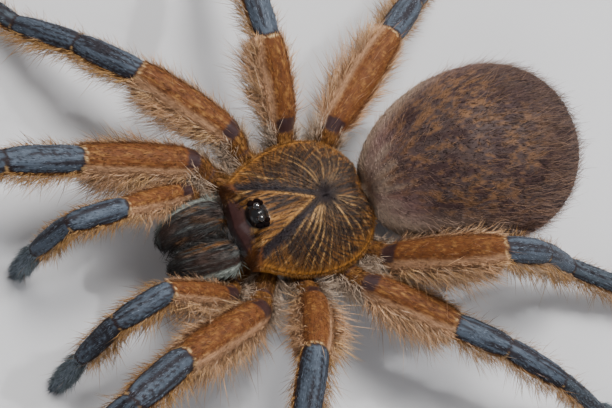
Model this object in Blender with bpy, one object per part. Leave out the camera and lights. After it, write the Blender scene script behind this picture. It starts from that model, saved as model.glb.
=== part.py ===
"""A life-size blue-legged baboon tarantula, standing still with its legs spread.

Lengths are in millimetres here and become metres in link(). The spider faces -Y, its own left is +X,
and +Z is up. Every solid reaches to the tips of the short coat. The long fringes are left out.
Each leg is worked out as a chain of straight segments whose tubes meet on mitre planes, with a thin gap.
"""

import math

import bmesh
import bpy
from mathutils import Matrix, Vector

MM = 0.001
GAP = 0.16  # clear space between two neighbouring solids
ROUND = 12  # sides of a leg's cross-section

# Carapace: the shield over the head and the leg roots.
CARAPACE_LENGTH = 16.0
CARAPACE_WIDTH = 14.2
CARAPACE_SEGMENTS = 40
FACE_SHARE = 0.03  # of the length is cut off in front, where the face is flat
MARGIN_HEIGHT = 8.1  # of the shield's rim above the floor
FACE_LIFT = 1.45  # how much higher the rim is over the jaws
RIM_DEPTH = 0.45
CAPUT_RISE = 4.1  # of the raised head region above the rim
FOVEA_Y = 2.3
FOVEA_DEPTH = 0.35

# Eye mound, with eight eyes sunk in it: a large round one on top of each side, and three on each flank.
MOUND_CENTRE = (0.0, -5.6, 11.7)
MOUND_SIZE = (1.38, 1.02, 1.05)  # half width, half length, rise
FRONT_EYE = ((0.64, -5.74, 12.7), (0.43, 0.43, 0.43))  # centre on the left side, half sizes
FLANK_EYES = (
    ((1.16, -6.0, 12.27), (0.33, 0.46, 0.33)),
    ((1.24, -5.32, 12.27), (0.31, 0.44, 0.31)),
    ((0.92, -5.1, 12.45), (0.26, 0.33, 0.26)),
)
EYE_GAP = 0.06

# Chelicerae: the two swollen jaws, and the fangs folded under them.
JAW_START = (-8.25, 7.55)  # y and height
JAW_LENGTH = 6.0
JAW_RISE = (20.0, -42.0)  # degrees, at the root and at the end
JAW_HALF = (2.0, 2.4)  # half width, half height
JAW_PART = 0.12  # of each jaw from the midline
JAW_SHAPE = (  # (share of the length, width, height)
    (0.0, 0.93, 0.76),
    (0.12, 0.99, 0.9),
    (0.32, 1.0, 1.0),
    (0.55, 0.97, 0.99),
    (0.75, 0.89, 0.92),
    (0.88, 0.77, 0.8),
    (0.96, 0.6, 0.62),
    (1.0, 0.38, 0.4),
)
FANG_START = (1.5, -12.95, 4.8)
FANG_LENGTH = 5.0
FANG_RADIUS = 0.62
FANG_RISE = (-26.0, 20.0)  # degrees

# Sternum: the plate under the body and the core that carries the leg roots.
STERNUM_SIZE = (3.25, 5.5)  # half width, half length
STERNUM_BASE = 3.5
STERNUM_SQUARENESS = 0.77  # 1 is an ellipse, less is boxier

# Abdomen: an egg, widest behind its middle, on a narrow waist.
ABDOMEN_FRONT = (0.2, 8.0)
ABDOMEN_LENGTH = 23.4
ABDOMEN_HALF = (10.1, 9.6)  # half width, half height
ABDOMEN_CENTRE_HEIGHT = 10.35
ABDOMEN_SWING = -3.5  # degrees, towards the spider's left
WAIST = (5.85, 6.2, 0.95)  # y of its front end, height, radius

# Legs. Each pair has its root under the shield, as x outwards, y and height, its segment lengths,
# and the girths of the rest and of its thigh.
BEND_SHARE = 0.72  # how far out along the coxa the trochanter turns up
HEEL_HEIGHT = 2.1  # of the ankle between metatarsus and tarsus
TIP_HEIGHT = 0.6
PALP_TIP_HEIGHT = 0.1
SOLE_PRESS = 0.3  # whatever of a foot is lower than this is pressed flat onto the floor
PAIRS = {
    "palp": dict(root=(2.3, -5.8, 4.6), lengths=(8.7, 5.7, 6.3, 5.8), girth=0.8, thigh=0.67),
    "leg1": dict(root=(3.55, -3.9, 5.6), lengths=(12.2, 7.8, 9.3, 8.7, 6.0), girth=1.0, thigh=1.0),
    "leg2": dict(root=(3.95, -1.2, 5.6), lengths=(11.3, 7.2, 8.1, 8.3, 5.9), girth=0.97, thigh=0.97),
    "leg3": dict(root=(3.75, 1.65, 5.6), lengths=(9.9, 6.0, 7.2, 9.0, 5.7), girth=0.95, thigh=0.97),
    "leg4": dict(root=(2.75, 4.35, 5.6), lengths=(12.5, 7.0, 9.6, 11.7, 6.3), girth=1.0, thigh=1.0),
}

# Each leg's hip, as x outwards, y and height, then the directions in degrees of its femur, patella
# and tibia: (turn to the rear from straight sideways, rise), then the turn of its foot. The feet
# find the floor themselves.
POSE = {
    ("palp", "right"): ((5.65, -10.1, 7.2), (-95, 26), (-90, 5), (-89, -68), -103),
    ("palp", "left"): ((5.9, -9.8, 7.0), (-102, 32), (-79, -9), (-71, -59), -65),
    ("leg1", "right"): ((8.25, -8.2, 7.4), (-75, 10), (-80, 16), (-79, -28), -78),
    ("leg1", "left"): ((8.5, -7.8, 7.5), (-76, 23), (-69, 24), (-69, -42), -70),
    ("leg2", "right"): ((9.9, -3.2, 7.6), (-41, 9), (-35, -20), (-36, -32), -35),
    ("leg2", "left"): ((9.1, -2.1, 7.7), (-40, 45), (-30, -11), (-30, -44), -31),
    ("leg3", "right"): ((9.1, 2.6, 7.2), (1, 33), (7, -2), (8, -34), 9),
    ("leg3", "left"): ((9.5, 4.2, 7.4), (41, 12), (49, -3), (45, -11), 54),
    ("leg4", "right"): ((7.3, 7.5, 7.4), (53, 11), (57, -20), (56, -30), 54),
    ("leg4", "left"): ((7.7, 7.6, 7.6), (61, 41), (80, -31), (79, -48), 58),
}

# Cross-sections along a segment: (share of its length, half width, half height).
COXA_SHAPE = ((0.0, 1.15, 1.5), (0.5, 1.42, 1.72), (1.0, 1.55, 1.72))
TROCHANTER_SHAPE = ((0.0, 1.55, 1.72), (1.0, 1.52, 1.7))
FEMUR_SHAPE = ((0.0, 1.52, 1.7), (0.16, 1.78, 1.98), (0.45, 1.95, 2.15), (0.8, 1.85, 2.0), (1.0, 1.6, 1.75))
PATELLA_SHAPE = ((0.0, 1.56, 1.65), (0.3, 1.64, 1.7), (0.72, 1.6, 1.66), (1.0, 1.4, 1.44))
TIBIA_SHAPE = ((0.0, 1.4, 1.44), (0.28, 1.5, 1.52), (0.75, 1.42, 1.44), (1.0, 1.22, 1.24))
METATARSUS_SHAPE = ((0.0, 1.22, 1.24), (0.4, 1.24, 1.24), (0.8, 1.18, 1.18), (1.0, 1.1, 1.1))
TARSUS_SHAPE = ((0.0, 1.1, 1.1), (0.45, 1.28, 1.08), (0.82, 1.18, 0.95), (1.0, 0.74, 0.62))

COATS = {  # base colour and roughness
    "carapace": ((0.16, 0.09, 0.04), 0.55),
    "abdomen": ((0.10, 0.055, 0.035), 0.8),
    "jaw": ((0.03, 0.026, 0.022), 0.5),
    "fang": ((0.02, 0.006, 0.004), 0.18),
    "eye": ((0.01, 0.01, 0.012), 0.05),
    "orange": ((0.30, 0.11, 0.02), 0.6),
    "blue": ((0.13, 0.19, 0.27), 0.45),
    "root": ((0.12, 0.07, 0.045), 0.7),
}


def material(coat):
    """The material of a coat colour, made once."""
    found = bpy.data.materials.get(coat)
    if found:
        return found
    colour, roughness = COATS[coat]
    made = bpy.data.materials.new(coat)
    made.use_nodes = True
    shader = made.node_tree.nodes["Principled BSDF"]
    shader.inputs["Base Color"].default_value = (*colour, 1)
    shader.inputs["Roughness"].default_value = roughness
    shader.inputs["Metallic"].default_value = 0
    return made


def link(name, mesh, coat):
    """A smooth-shaded object in the scene from a bmesh in millimetres, its normals facing out."""
    bmesh.ops.recalc_face_normals(mesh, faces=mesh.faces)
    mesh.transform(Matrix.Scale(MM, 4))
    data = bpy.data.meshes.new(name)
    mesh.to_mesh(data)
    mesh.free()
    data.materials.append(material(coat))
    data.shade_smooth()
    made = bpy.data.objects.new(name, data)
    bpy.context.scene.collection.objects.link(made)
    return made


def loft(rings):
    """A closed bmesh through rings of equal point count, with flat ends."""
    mesh = bmesh.new()
    loops = [[mesh.verts.new(point) for point in ring] for ring in rings]
    for near, far in zip(loops, loops[1:]):
        for i in range(len(near)):
            j = (i + 1) % len(near)
            mesh.faces.new((near[i], near[j], far[j], far[i]))
    mesh.faces.new(loops[0])
    mesh.faces.new(loops[-1])
    return mesh


def direction(turn, rise, side):
    """A unit vector: turn degrees to the rear of straight sideways, and rise degrees up."""
    flat = math.cos(math.radians(rise))
    return Vector(
        (
            side * flat * math.cos(math.radians(turn)),
            flat * math.sin(math.radians(turn)),
            math.sin(math.radians(rise)),
        )
    )


def ring(centre, along, half_width, half_height, plane, offset=0.0, sides=ROUND):
    """An ellipse round a segment's axis, slid along it onto the plane through centre plus offset."""
    across = along.cross(Vector((0, 0, 1))).normalized()
    upward = across.cross(along)
    points = []
    for i in range(sides):
        angle = 2 * math.pi * (i + 0.5) / sides
        spoke = across * half_width * math.cos(angle) + upward * half_height * math.sin(angle)
        points.append(centre + spoke + along * ((offset - spoke.dot(plane)) / along.dot(plane)))
    return points


def tube(joints, shapes, before, after, girth):
    """Rings along a chain of joints, with mitred ends that stay half a gap short of their planes.

    before and after are the directions of the chain on either side, or None at a free end.
    """
    ways = [(b - a).normalized() for a, b in zip(joints, joints[1:])]
    first = (before + ways[0]).normalized() if before else ways[0]
    last = (ways[-1] + after).normalized() if after else ways[-1]
    planes = [first] + [(a + b).normalized() for a, b in zip(ways, ways[1:])] + [last]
    rings = []
    for k, (way, shape) in enumerate(zip(ways, shapes)):
        for share, half_width, half_height in shape:
            if share == 0.0 and k > 0:
                continue
            plane, offset = way, 0.0
            if share == 0.0:
                plane, offset = planes[0], GAP / 2
            elif share == 1.0:
                plane = planes[k + 1]
                offset = -GAP / 2 if k == len(ways) - 1 else 0.0
            centre = joints[k].lerp(joints[k + 1], share)
            rings.append(ring(centre, way, half_width * girth, half_height * girth, plane, offset))
    return rings


def reach_down(start, length, height):
    """The rise, in degrees, of a segment that ends at this height."""
    return -math.degrees(math.asin(min(0.97, (start.z - height) / length)))


def leg_joints(pair, pose, side):
    """The joints of one leg or palp, from its root under the shield to the tip of its foot."""
    hip, *ways, foot_turn = pose
    root = mirror(pair["root"], side)
    hip = mirror(hip, side)
    bend = root.lerp(hip, BEND_SHARE)
    bend.z = root.z + 0.3
    joints = [root, bend, hip]
    for way, length in zip(ways, pair["lengths"]):
        joints.append(joints[-1] + direction(*way, side) * length)
    heights = (PALP_TIP_HEIGHT,) if len(pair["lengths"]) == 4 else (HEEL_HEIGHT, TIP_HEIGHT)
    for length, height in zip(pair["lengths"][3:], heights):
        rise = reach_down(joints[-1], length, height)
        joints.append(joints[-1] + direction(foot_turn, rise, side) * length)
    return joints


def flat_sole(rings):
    """The rings with the lowest part of a foot pressed flat onto the floor."""
    return [[Vector((p.x, p.y, p.z if p.z > SOLE_PRESS else 0.0)) for p in loop] for loop in rings]


def make_leg(pair_name, side_name):
    """One leg or palp as its coxa, femur, patella, tibia and foot; a palp's tibia is in its foot."""
    pair = PAIRS[pair_name]
    side = 1 if side_name == "left" else -1
    joints = leg_joints(pair, POSE[pair_name, side_name], side)
    is_palp = pair_name == "palp"
    plan = [
        ("coxa", 0, (COXA_SHAPE, TROCHANTER_SHAPE), "root"),
        ("femur", 2, (FEMUR_SHAPE,), "orange"),
        ("patella", 3, (PATELLA_SHAPE,), "blue"),
    ]
    if is_palp:
        plan.append(("foot", 4, (TIBIA_SHAPE, TARSUS_SHAPE), "blue"))
    else:
        plan.append(("tibia", 4, (TIBIA_SHAPE,), "blue"))
        plan.append(("foot", 5, (METATARSUS_SHAPE, TARSUS_SHAPE), "blue"))
    for name, start, shapes, coat in plan:
        end = start + len(shapes)
        before = joints[start] - joints[start - 1] if start else None
        after = joints[end + 1] - joints[end] if end + 1 < len(joints) else None
        girth = pair["thigh" if name == "femur" else "girth"]
        before = before.normalized() if before else None
        after = after.normalized() if after else None
        rings = tube(joints[start : end + 1], shapes, before, after, girth)
        link(f"{pair_name}_{side_name}_{name}", loft(flat_sole(rings)), coat)


def shield_half_width(share):
    """Half the shield's width at a share of its length from the front: a narrow head, a broad rear."""
    head = 0.608 + 0.2 * share
    body = 0.655 + 0.345 * math.sin(math.pi / 2 * min(1.0, max(0.0, (share - 0.06) / 0.52))) ** 1.25
    blend = min(1.0, share / 0.2)
    front = head * (1 - blend) + body * blend
    rear = 1.0 if share < 0.58 else math.sqrt(max(0.0, 1 - ((share - 0.58) / 0.452) ** 2.35))
    return CARAPACE_WIDTH / 2 * front * rear


def shield_outline(count):
    """Points evenly round the shield's rim, in plan, starting at the front on the midline."""
    front = -CARAPACE_LENGTH / 2
    steps = 2000
    side = [Vector((0, front + CARAPACE_LENGTH * FACE_SHARE, 0))]
    for i in range(steps + 1):
        share = FACE_SHARE + (1 - FACE_SHARE) * i / steps
        bow = 0.6 * max(0.0, 1 - (share - FACE_SHARE) / 0.03)
        side.append(Vector((shield_half_width(share), front + CARAPACE_LENGTH * share + bow, 0)))
    side.append(Vector((0, -front - 0.25, 0)))
    travelled = [0.0]
    for a, b in zip(side, side[1:]):
        travelled.append(travelled[-1] + (b - a).length)
    half = []
    at = 0
    for i in range(count // 2 + 1):
        want = travelled[-1] * i / (count // 2)
        while at < len(side) - 2 and travelled[at + 1] < want:
            at += 1
        span = travelled[at + 1] - travelled[at]
        half.append(side[at].lerp(side[at + 1], (want - travelled[at]) / span if span else 0.0))
    mirrored = [Vector((-p.x, p.y, 0)) for p in reversed(half[1:-1])]
    return half + mirrored


def face_lift(y):
    """How far the rim rises towards the face, at a distance along the body."""
    share = min(1.0, max(0.0, (-1.5 - y) / 5.2))
    return FACE_LIFT * share * share * (3 - 2 * share)


def shield_height(x, y, inward):
    """Height of the shield above the level rim, at a plan point that lies inward (0 rim, 1 middle)."""
    along = (y + CARAPACE_LENGTH / 2) / CARAPACE_LENGTH
    dome = math.sin(math.pi / 2 * min(1.0, inward * 1.15)) ** 0.8
    ridge = 0.93 - 0.10 * along
    head = math.exp(-((x / 3.6) ** 2)) * max(0.0, 1 - along / 0.62) ** 0.5 * 0.1
    pit = FOVEA_DEPTH * math.exp(-((x / 0.8) ** 2 + ((y - FOVEA_Y) / 0.5) ** 2))
    rim = face_lift(y)
    return rim + (CAPUT_RISE * (ridge + head) - rim) * dome - pit


def make_carapace():
    """The shield as rings from its rim up to its ridge, with the eye mound joined on."""
    outline = shield_outline(CARAPACE_SEGMENTS)
    rings = [[Vector((p.x, p.y, MARGIN_HEIGHT - RIM_DEPTH)) for p in outline]]
    for inward in (0.0, 0.07, 0.2, 0.38, 0.6, 0.82):
        loop = []
        for p in outline:
            spine = Vector((0, max(-4.9, min(4.3, p.y * 0.8)), 0))
            q = p.lerp(spine, inward)
            loop.append(Vector((q.x, q.y, MARGIN_HEIGHT + shield_height(q.x, q.y, inward))))
        rings.append(loop)
    shield = link("carapace", loft(rings), "carapace")
    combine(shield, make_ball("mound", MOUND_CENTRE, MOUND_SIZE, "carapace", 18, 9), "UNION")


def mirror(centre, side):
    """A point of the left side, or its mirror image when side is -1."""
    return Vector((centre[0] * side, *centre[1:]))


def combine(body, tool, operation):
    """Adds a boolean of the tool to the body and hides the tool."""
    boolean = body.modifiers.new(tool.name, "BOOLEAN")
    boolean.operation = operation
    boolean.object = tool
    tool.hide_render = True
    tool.display_type = "WIRE"


def make_ball(name, centre, halves, coat, columns=14, rows=7):
    """An ellipsoid, by its centre and its half sizes."""
    mesh = bmesh.new()
    bmesh.ops.create_uvsphere(mesh, u_segments=columns, v_segments=rows, radius=1.0)
    mesh.transform(Matrix.Translation(centre) @ Matrix.Diagonal((*halves, 1)))
    return link(name, mesh, coat)


def make_eyes():
    """A round front eye on each side, and the three eyes of each flank, which touch, in one node.

    Each is a ball whose sunken part is cut away a little above the mound.
    """
    clear_of = [half + EYE_GAP for half in MOUND_SIZE]
    mound = make_ball("mound_clearance", MOUND_CENTRE, clear_of, "carapace", 18, 9)
    for name, side in (("left", 1), ("right", -1)):
        front_centre, front_halves = FRONT_EYE
        front = make_ball(f"eye_front_{name}", mirror(front_centre, side), front_halves, "eye", 12, 8)
        combine(front, mound, "DIFFERENCE")
        group = [
            make_ball(f"eyes_flank_{name}_{number}", mirror(centre, side), halves, "eye", 10, 6)
            for number, (centre, halves) in enumerate(FLANK_EYES)
        ]
        group[0].name = f"eyes_flank_{name}"
        for lobe in group[1:]:
            combine(group[0], lobe, "UNION")
        combine(group[0], mound, "DIFFERENCE")


def make_sternum():
    """The plate under the body, an oval block with a bevelled foot."""
    rings = []
    top = MARGIN_HEIGHT - RIM_DEPTH - 0.25
    for height, share in ((STERNUM_BASE, 0.72), (STERNUM_BASE + 0.5, 1.0), (top, 1.0)):
        loop = []
        for i in range(20):
            angle = 2 * math.pi * i / 20
            x, y = math.cos(angle), math.sin(angle)
            x = math.copysign(abs(x) ** STERNUM_SQUARENESS, x) * STERNUM_SIZE[0]
            y = math.copysign(abs(y) ** STERNUM_SQUARENESS, y) * STERNUM_SIZE[1]
            loop.append(Vector((x * share, y * share, height)))
        rings.append(loop)
    link("sternum", loft(rings), "root")


def arc(start, length, rises, share, forward):
    """A point and its direction along a curved line that starts at (y, height) and bends evenly.

    rises are the slopes in degrees at its two ends, and forward is -1 to the face or 1 to the rear.
    """
    y, height = start
    steps = 20
    for i in range(steps):
        rise = math.radians(rises[0] + (rises[1] - rises[0]) * share * (i + 0.5) / steps)
        y += forward * length * share / steps * math.cos(rise)
        height += length * share / steps * math.sin(rise)
    rise = math.radians(rises[0] + (rises[1] - rises[0]) * share)
    return y, height, Vector((0, forward * math.cos(rise), math.sin(rise)))


def make_jaws():
    """Both chelicerae, each with its fang folded back under it."""
    for name, side in (("left", 1), ("right", -1)):
        rings = []
        for share, wide, high in JAW_SHAPE:
            y, height, along = arc(JAW_START, JAW_LENGTH, JAW_RISE, share, -1)
            half_width = JAW_HALF[0] * wide
            centre = Vector((side * (JAW_PART + half_width), y, height))
            rings.append(ring(centre, along, half_width, JAW_HALF[1] * high, along, sides=14))
        link(f"chelicera_{name}", loft(rings), "jaw")
        rings = []
        for i in range(7):
            share = i / 6
            y, height, along = arc(FANG_START[1:], FANG_LENGTH, FANG_RISE, share, 1)
            centre = Vector((side * FANG_START[0], y, height))
            radius = FANG_RADIUS * (1 - 0.62 * share)
            rings.append(ring(centre, along, radius, radius, along, sides=8))
        link(f"fang_{name}", loft(rings), "fang")


def make_abdomen():
    """The egg on its waist, by rings along its length, swung a little to one side."""
    turn = math.radians(ABDOMEN_SWING)
    along = Vector((-math.sin(turn), math.cos(turn), 0))
    front = Vector((*ABDOMEN_FRONT, 0))
    rings = []
    waist_y, waist_height, waist_radius = WAIST
    for y in (waist_y, ABDOMEN_FRONT[1] - 0.1):
        centre = Vector((ABDOMEN_FRONT[0], y, waist_height))
        rings.append(ring(centre, along, waist_radius, waist_radius, along, sides=22))
    for i in range(11):
        share = 0.035 + 0.965 * (0.5 - 0.5 * math.cos(math.pi * i / 11))
        climb = min(1.0, share / 0.35) ** 0.5
        height = waist_height + 1.2 + (ABDOMEN_CENTRE_HEIGHT - waist_height - 1.2) * climb
        centre = front + along * ABDOMEN_LENGTH * share + Vector((0, 0, height))
        half_width, half_height = (half * egg(share) for half in ABDOMEN_HALF)
        rings.append(ring(centre, along, half_width, half_height, along, sides=22))
    centre = front + along * ABDOMEN_LENGTH + Vector((0, 0, ABDOMEN_CENTRE_HEIGHT - 0.4))
    rings.append(ring(centre, along, 1.0, 0.9, along, sides=22))
    link("abdomen", loft(rings), "abdomen")
    return front + along * ABDOMEN_LENGTH, along


def egg(share):
    """The abdomen's girth at a share of its length, 1 where it is widest."""
    wide_at = 0.57
    if share < wide_at:
        return math.sqrt(max(0.0, 1 - ((wide_at - share) / wide_at) ** 2.0))
    return math.sqrt(max(0.0, 1 - ((share - wide_at) / (1 - wide_at + 0.004)) ** 2.3))


def make_spinnerets(rear, along):
    """The pair of jointed spinnerets under the abdomen's rear, on one common mound."""
    across = along.cross(Vector((0, 0, 1)))
    base = rear - along * 1.0 + Vector((0, 0, 4.05))
    mound = make_ball("spinnerets", base, (1.9, 0.8, 0.75), "abdomen", 14, 7)
    for side in (1, -1):
        rings = []
        for share, radius in ((0.0, 0.55), (0.4, 0.52), (0.75, 0.42), (1.0, 0.24)):
            way = (along * 1.0 + across * side * 0.28 + Vector((0, 0, 0.10))).normalized()
            centre = base + across * side * 0.95 + way * 3.4 * share
            rings.append(ring(centre, way, radius, radius, way, sides=10))
        combine(mound, link(f"finger_{side}", loft(rings), "abdomen"), "UNION")


def centre_on_footprint():
    """Moves everything so that the origin is at the middle of the model's box, on the floor."""
    bpy.context.view_layer.update()
    shown = [o for o in bpy.context.scene.objects if o.type == "MESH" and not o.hide_render]
    corners = [o.matrix_world @ v.co for o in shown for v in o.data.vertices]
    middle_x = (min(c.x for c in corners) + max(c.x for c in corners)) / 2
    middle_y = (min(c.y for c in corners) + max(c.y for c in corners)) / 2
    for o in bpy.context.scene.objects:
        o.location -= Vector((middle_x, middle_y, 0))


def main():
    """Builds the whole spider in an empty scene."""
    for old in list(bpy.data.objects):
        bpy.data.objects.remove(old)
    make_carapace()
    make_eyes()
    make_sternum()
    make_jaws()
    make_spinnerets(*make_abdomen())
    for pair_name in PAIRS:
        for side_name in ("left", "right"):
            make_leg(pair_name, side_name)
    centre_on_footprint()


main()
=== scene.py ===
"""A life-size blue-legged baboon tarantula, standing still: its skin, coat, shield, eyes and fangs.

Lengths are in millimetres until a mesh is made. The spider faces -Y, its own left is +X and +Z is up.
"""

import logging
import math
from dataclasses import dataclass, fields
from enum import Enum, IntEnum
from itertools import product

import bpy
import numpy as np
from mathutils import Matrix, Vector


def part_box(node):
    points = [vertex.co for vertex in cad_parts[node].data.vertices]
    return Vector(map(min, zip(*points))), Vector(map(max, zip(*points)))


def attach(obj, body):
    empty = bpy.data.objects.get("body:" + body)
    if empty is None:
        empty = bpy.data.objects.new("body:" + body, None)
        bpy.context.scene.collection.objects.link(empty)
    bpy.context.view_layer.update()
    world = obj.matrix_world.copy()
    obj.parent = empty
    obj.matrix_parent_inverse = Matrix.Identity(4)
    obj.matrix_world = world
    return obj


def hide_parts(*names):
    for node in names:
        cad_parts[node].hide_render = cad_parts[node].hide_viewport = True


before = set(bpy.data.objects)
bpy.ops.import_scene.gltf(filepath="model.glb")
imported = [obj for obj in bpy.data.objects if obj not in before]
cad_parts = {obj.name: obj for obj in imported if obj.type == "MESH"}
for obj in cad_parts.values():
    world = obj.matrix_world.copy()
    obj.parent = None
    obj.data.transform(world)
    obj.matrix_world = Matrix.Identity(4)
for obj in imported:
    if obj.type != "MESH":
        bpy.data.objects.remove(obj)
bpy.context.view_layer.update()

MM = 0.001
SHIELD_REAR = 7.75
UP = np.array([0.0, 0.0, 1.0])
Array = np.ndarray
Colour = tuple[float, float, float]
Painted = tuple[Array, Array | float, Array | float]
log = logging.getLogger("tarantula")
logging.basicConfig(level=logging.INFO, format="%(message)s")


class Kind(IntEnum):
    """What a stretch of flesh is."""

    COXA = 0
    TROCHANTER = 1
    FEMUR = 2
    PATELLA = 3
    TIBIA = 4
    METATARSUS = 5
    TARSUS = 6
    JAW = 7
    ABDOMEN = 8
    FINGER = 9
    CORE = 10


class Side(Enum):
    """A side of the spider's body, with the sign of its x."""

    LEFT = 1
    RIGHT = -1


# ---- numbers


def unit(vectors: Array) -> Array:
    """Returns the vectors, along the last axis, at length one."""
    return vectors / np.maximum(np.linalg.norm(vectors, axis=-1, keepdims=True), 1e-12)


def smooth(low: float, high: float, value: Array) -> Array:
    """Returns 0 below low, 1 above high, and an even ramp between them."""
    share = np.clip((value - low) / (high - low), 0.0, 1.0)
    return share * share * (3 - 2 * share)


def ripple(points: Array, size: float, seed: int) -> Array:
    """Smooth noise from 0 to 1.

    Args:
        points: One row of coordinates for each value.
        size: Distance between neighbouring bumps, a number or one for each axis.
        seed: Which of the endless noises to take.

    Returns:
        One value for each point.
    """
    scaled = points / np.asarray(size)
    low = np.floor(scaled).astype(np.int64)
    part = scaled - low
    part = part * part * (3 - 2 * part)
    total = np.zeros(len(points))
    for corner in product((0, 1), repeat=3):
        cell = low + np.array(corner)
        code = cell[:, 0] * 73856093 ^ cell[:, 1] * 19349663 ^ cell[:, 2] * 83492791 ^ seed * 6291469
        code = (code ^ (code >> 13)) * 1274126177 & 0x7FFFFFFF
        code = (code ^ (code >> 16)) & 0xFFFF
        weight = np.prod(np.where(np.array(corner) == 1, part, 1 - part), axis=1)
        total += weight * code / 0xFFFF
    return total


def blend(base: Array, colour: Colour, share: Array) -> Array:
    """Returns rows of base colours moved towards one colour by a share each."""
    return base + (np.array(colour) - base) * np.clip(share, 0.0, 1.0)[:, None]


def circle(count: int) -> Array:
    """Returns angles evenly round a circle, in radians."""
    return np.arange(count) * 2 * math.pi / count


def laid_flat(ways: Array, normals: Array) -> Array:
    """Returns directions without the part that leaves the surface."""
    return ways - normals * np.sum(ways * normals, axis=1, keepdims=True)


def shield_middle() -> Array:
    """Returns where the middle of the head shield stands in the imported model."""
    low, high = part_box("carapace")
    return np.array([(low.x + high.x) / 2 / MM, high.y / MM - SHIELD_REAR, 0.0])


MIDDLE = shield_middle()


# ---- meshes


@dataclass
class Net:
    """A mesh held as arrays, in millimetres."""

    points: Array
    faces: list[Array]
    PULL = 0.55

    def joined(self, other: "Net") -> "Net":
        """Returns this net and another as one."""
        moved = [faces + len(self.points) for faces in other.faces]
        return Net(np.vstack((self.points, other.points)), self.faces + moved)

    def triangles(self) -> Array:
        """Returns every face as triangles.

        Returns:
            Rows of three point numbers.
        """
        rows = []
        for faces in self.faces:
            for corner in range(1, faces.shape[1] - 1):
                rows.append(faces[:, (0, corner, corner + 1)])
        return np.vstack(rows)

    def normals(self) -> Array:
        """Returns the normal at each point.

        Returns:
            One unit vector for each point.
        """
        triangles = self.triangles()
        a, b, c = (self.points[triangles[:, k]] for k in range(3))
        flat = np.cross(b - a, c - a)
        total = np.zeros_like(self.points)
        for k in range(3):
            for axis in range(3):
                total[:, axis] += np.bincount(triangles[:, k], flat[:, axis], len(self.points))
        return unit(total)

    def relaxed(self, rounds: int) -> "Net":
        """Returns the net with its points moved towards their neighbours, some rounds over.

        Args:
            rounds: How many rounds.

        Returns:
            The relaxed net.
        """
        pairs = []
        for faces in self.faces:
            for k in range(faces.shape[1]):
                pairs.append(faces[:, (k, (k + 1) % faces.shape[1])])
        pairs = np.vstack(pairs)
        count = np.bincount(pairs.ravel(), minlength=len(self.points))[:, None]
        points = self.points.copy()
        for _ in range(rounds):
            total = np.zeros_like(points)
            for axis in range(3):
                total[:, axis] += np.bincount(pairs[:, 0], points[pairs[:, 1], axis], len(points))
                total[:, axis] += np.bincount(pairs[:, 1], points[pairs[:, 0], axis], len(points))
            points += self.PULL * (total / np.maximum(count, 1) - points)
        return Net(points, self.faces)

    def mesh(self, name: str) -> bpy.types.Mesh:
        """Returns a smooth Blender mesh of the net, in metres.

        Args:
            name: The mesh's name.

        Returns:
            The mesh.
        """
        made = bpy.data.meshes.new(name)
        made.vertices.add(len(self.points))
        made.vertices.foreach_set("co", (self.points * MM).astype(np.float32).ravel())
        sizes = np.concatenate([np.full(len(f), f.shape[1]) for f in self.faces])
        loops = np.concatenate([f.ravel() for f in self.faces])
        made.loops.add(len(loops))
        made.loops.foreach_set("vertex_index", loops.astype(np.int32))
        made.polygons.add(len(sizes))
        starts = np.concatenate(([0], np.cumsum(sizes)[:-1]))
        made.polygons.foreach_set("loop_start", starts.astype(np.int32))
        made.polygons.foreach_set("loop_total", sizes.astype(np.int32))
        made.update(calc_edges=True)
        made.shade_smooth()
        return made


def loft(rings: Array) -> Net:
    """A closed net through rings of equal point count.

    Args:
        rings: Points, as rings by points by three.

    Returns:
        The net, with a fan on each end.
    """
    count, sides, _ = rings.shape
    points = np.vstack((rings.reshape(-1, 3), rings[0].mean(0), rings[-1].mean(0)))
    near = np.arange(sides)
    far = (near + 1) % sides
    quads = []
    for k in range(count - 1):
        low = k * sides
        quads.append(np.stack((low + near, low + far, low + sides + far, low + sides + near), axis=1))
    last = (count - 1) * sides
    first_fan = np.stack((far, near, np.full(sides, count * sides)), axis=1)
    last_fan = np.stack((last + near, last + far, np.full(sides, count * sides + 1)), axis=1)
    return Net(points, [np.vstack(quads), np.vstack((first_fan, last_fan))])


def remeshed(net: Net, voxel: float, rounds: int) -> Net:
    """One even closed skin around all that a net holds.

    Args:
        net: Closed parts that may cross each other.
        voxel: Size of the new faces.
        rounds: How often the new skin is relaxed.

    Returns:
        The skin.
    """
    scaled = Net(net.points / MM, net.faces)
    body = bpy.data.objects.new("remeshing", scaled.mesh("remeshing"))
    bpy.context.scene.collection.objects.link(body)
    change = body.modifiers.new("remesh", "REMESH")
    change.mode = "VOXEL"
    change.voxel_size = voxel
    done = body.evaluated_get(bpy.context.evaluated_depsgraph_get()).to_mesh()
    points = np.zeros(len(done.vertices) * 3)
    done.vertices.foreach_get("co", points)
    loops = np.zeros(len(done.loops), np.int64)
    done.loops.foreach_get("vertex_index", loops)
    points = points.reshape(-1, 3)
    quads = loops.reshape(-1, 4)
    bpy.data.objects.remove(body)
    return Net(points, [quads]).relaxed(rounds)


def ellipsoid(centre: Array, halves: Array, columns: int = 28, rows: int = 18) -> Net:
    """A ball, by its centre and its half sizes, with closed poles.

    Args:
        centre: Its middle.
        halves: Its half sizes.
        columns: Points round it.
        rows: Rings between its poles.

    Returns:
        The ball.
    """
    polar = np.linspace(0.02, math.pi - 0.02, rows)[:, None]
    turn = circle(columns)
    girth = np.sin(polar)
    height = -np.cos(polar) * np.ones(columns)
    rings = np.stack((girth * np.cos(turn), girth * np.sin(turn), height), axis=2)
    return loft(rings * np.asarray(halves) + np.asarray(centre))


# ---- flesh


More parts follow.
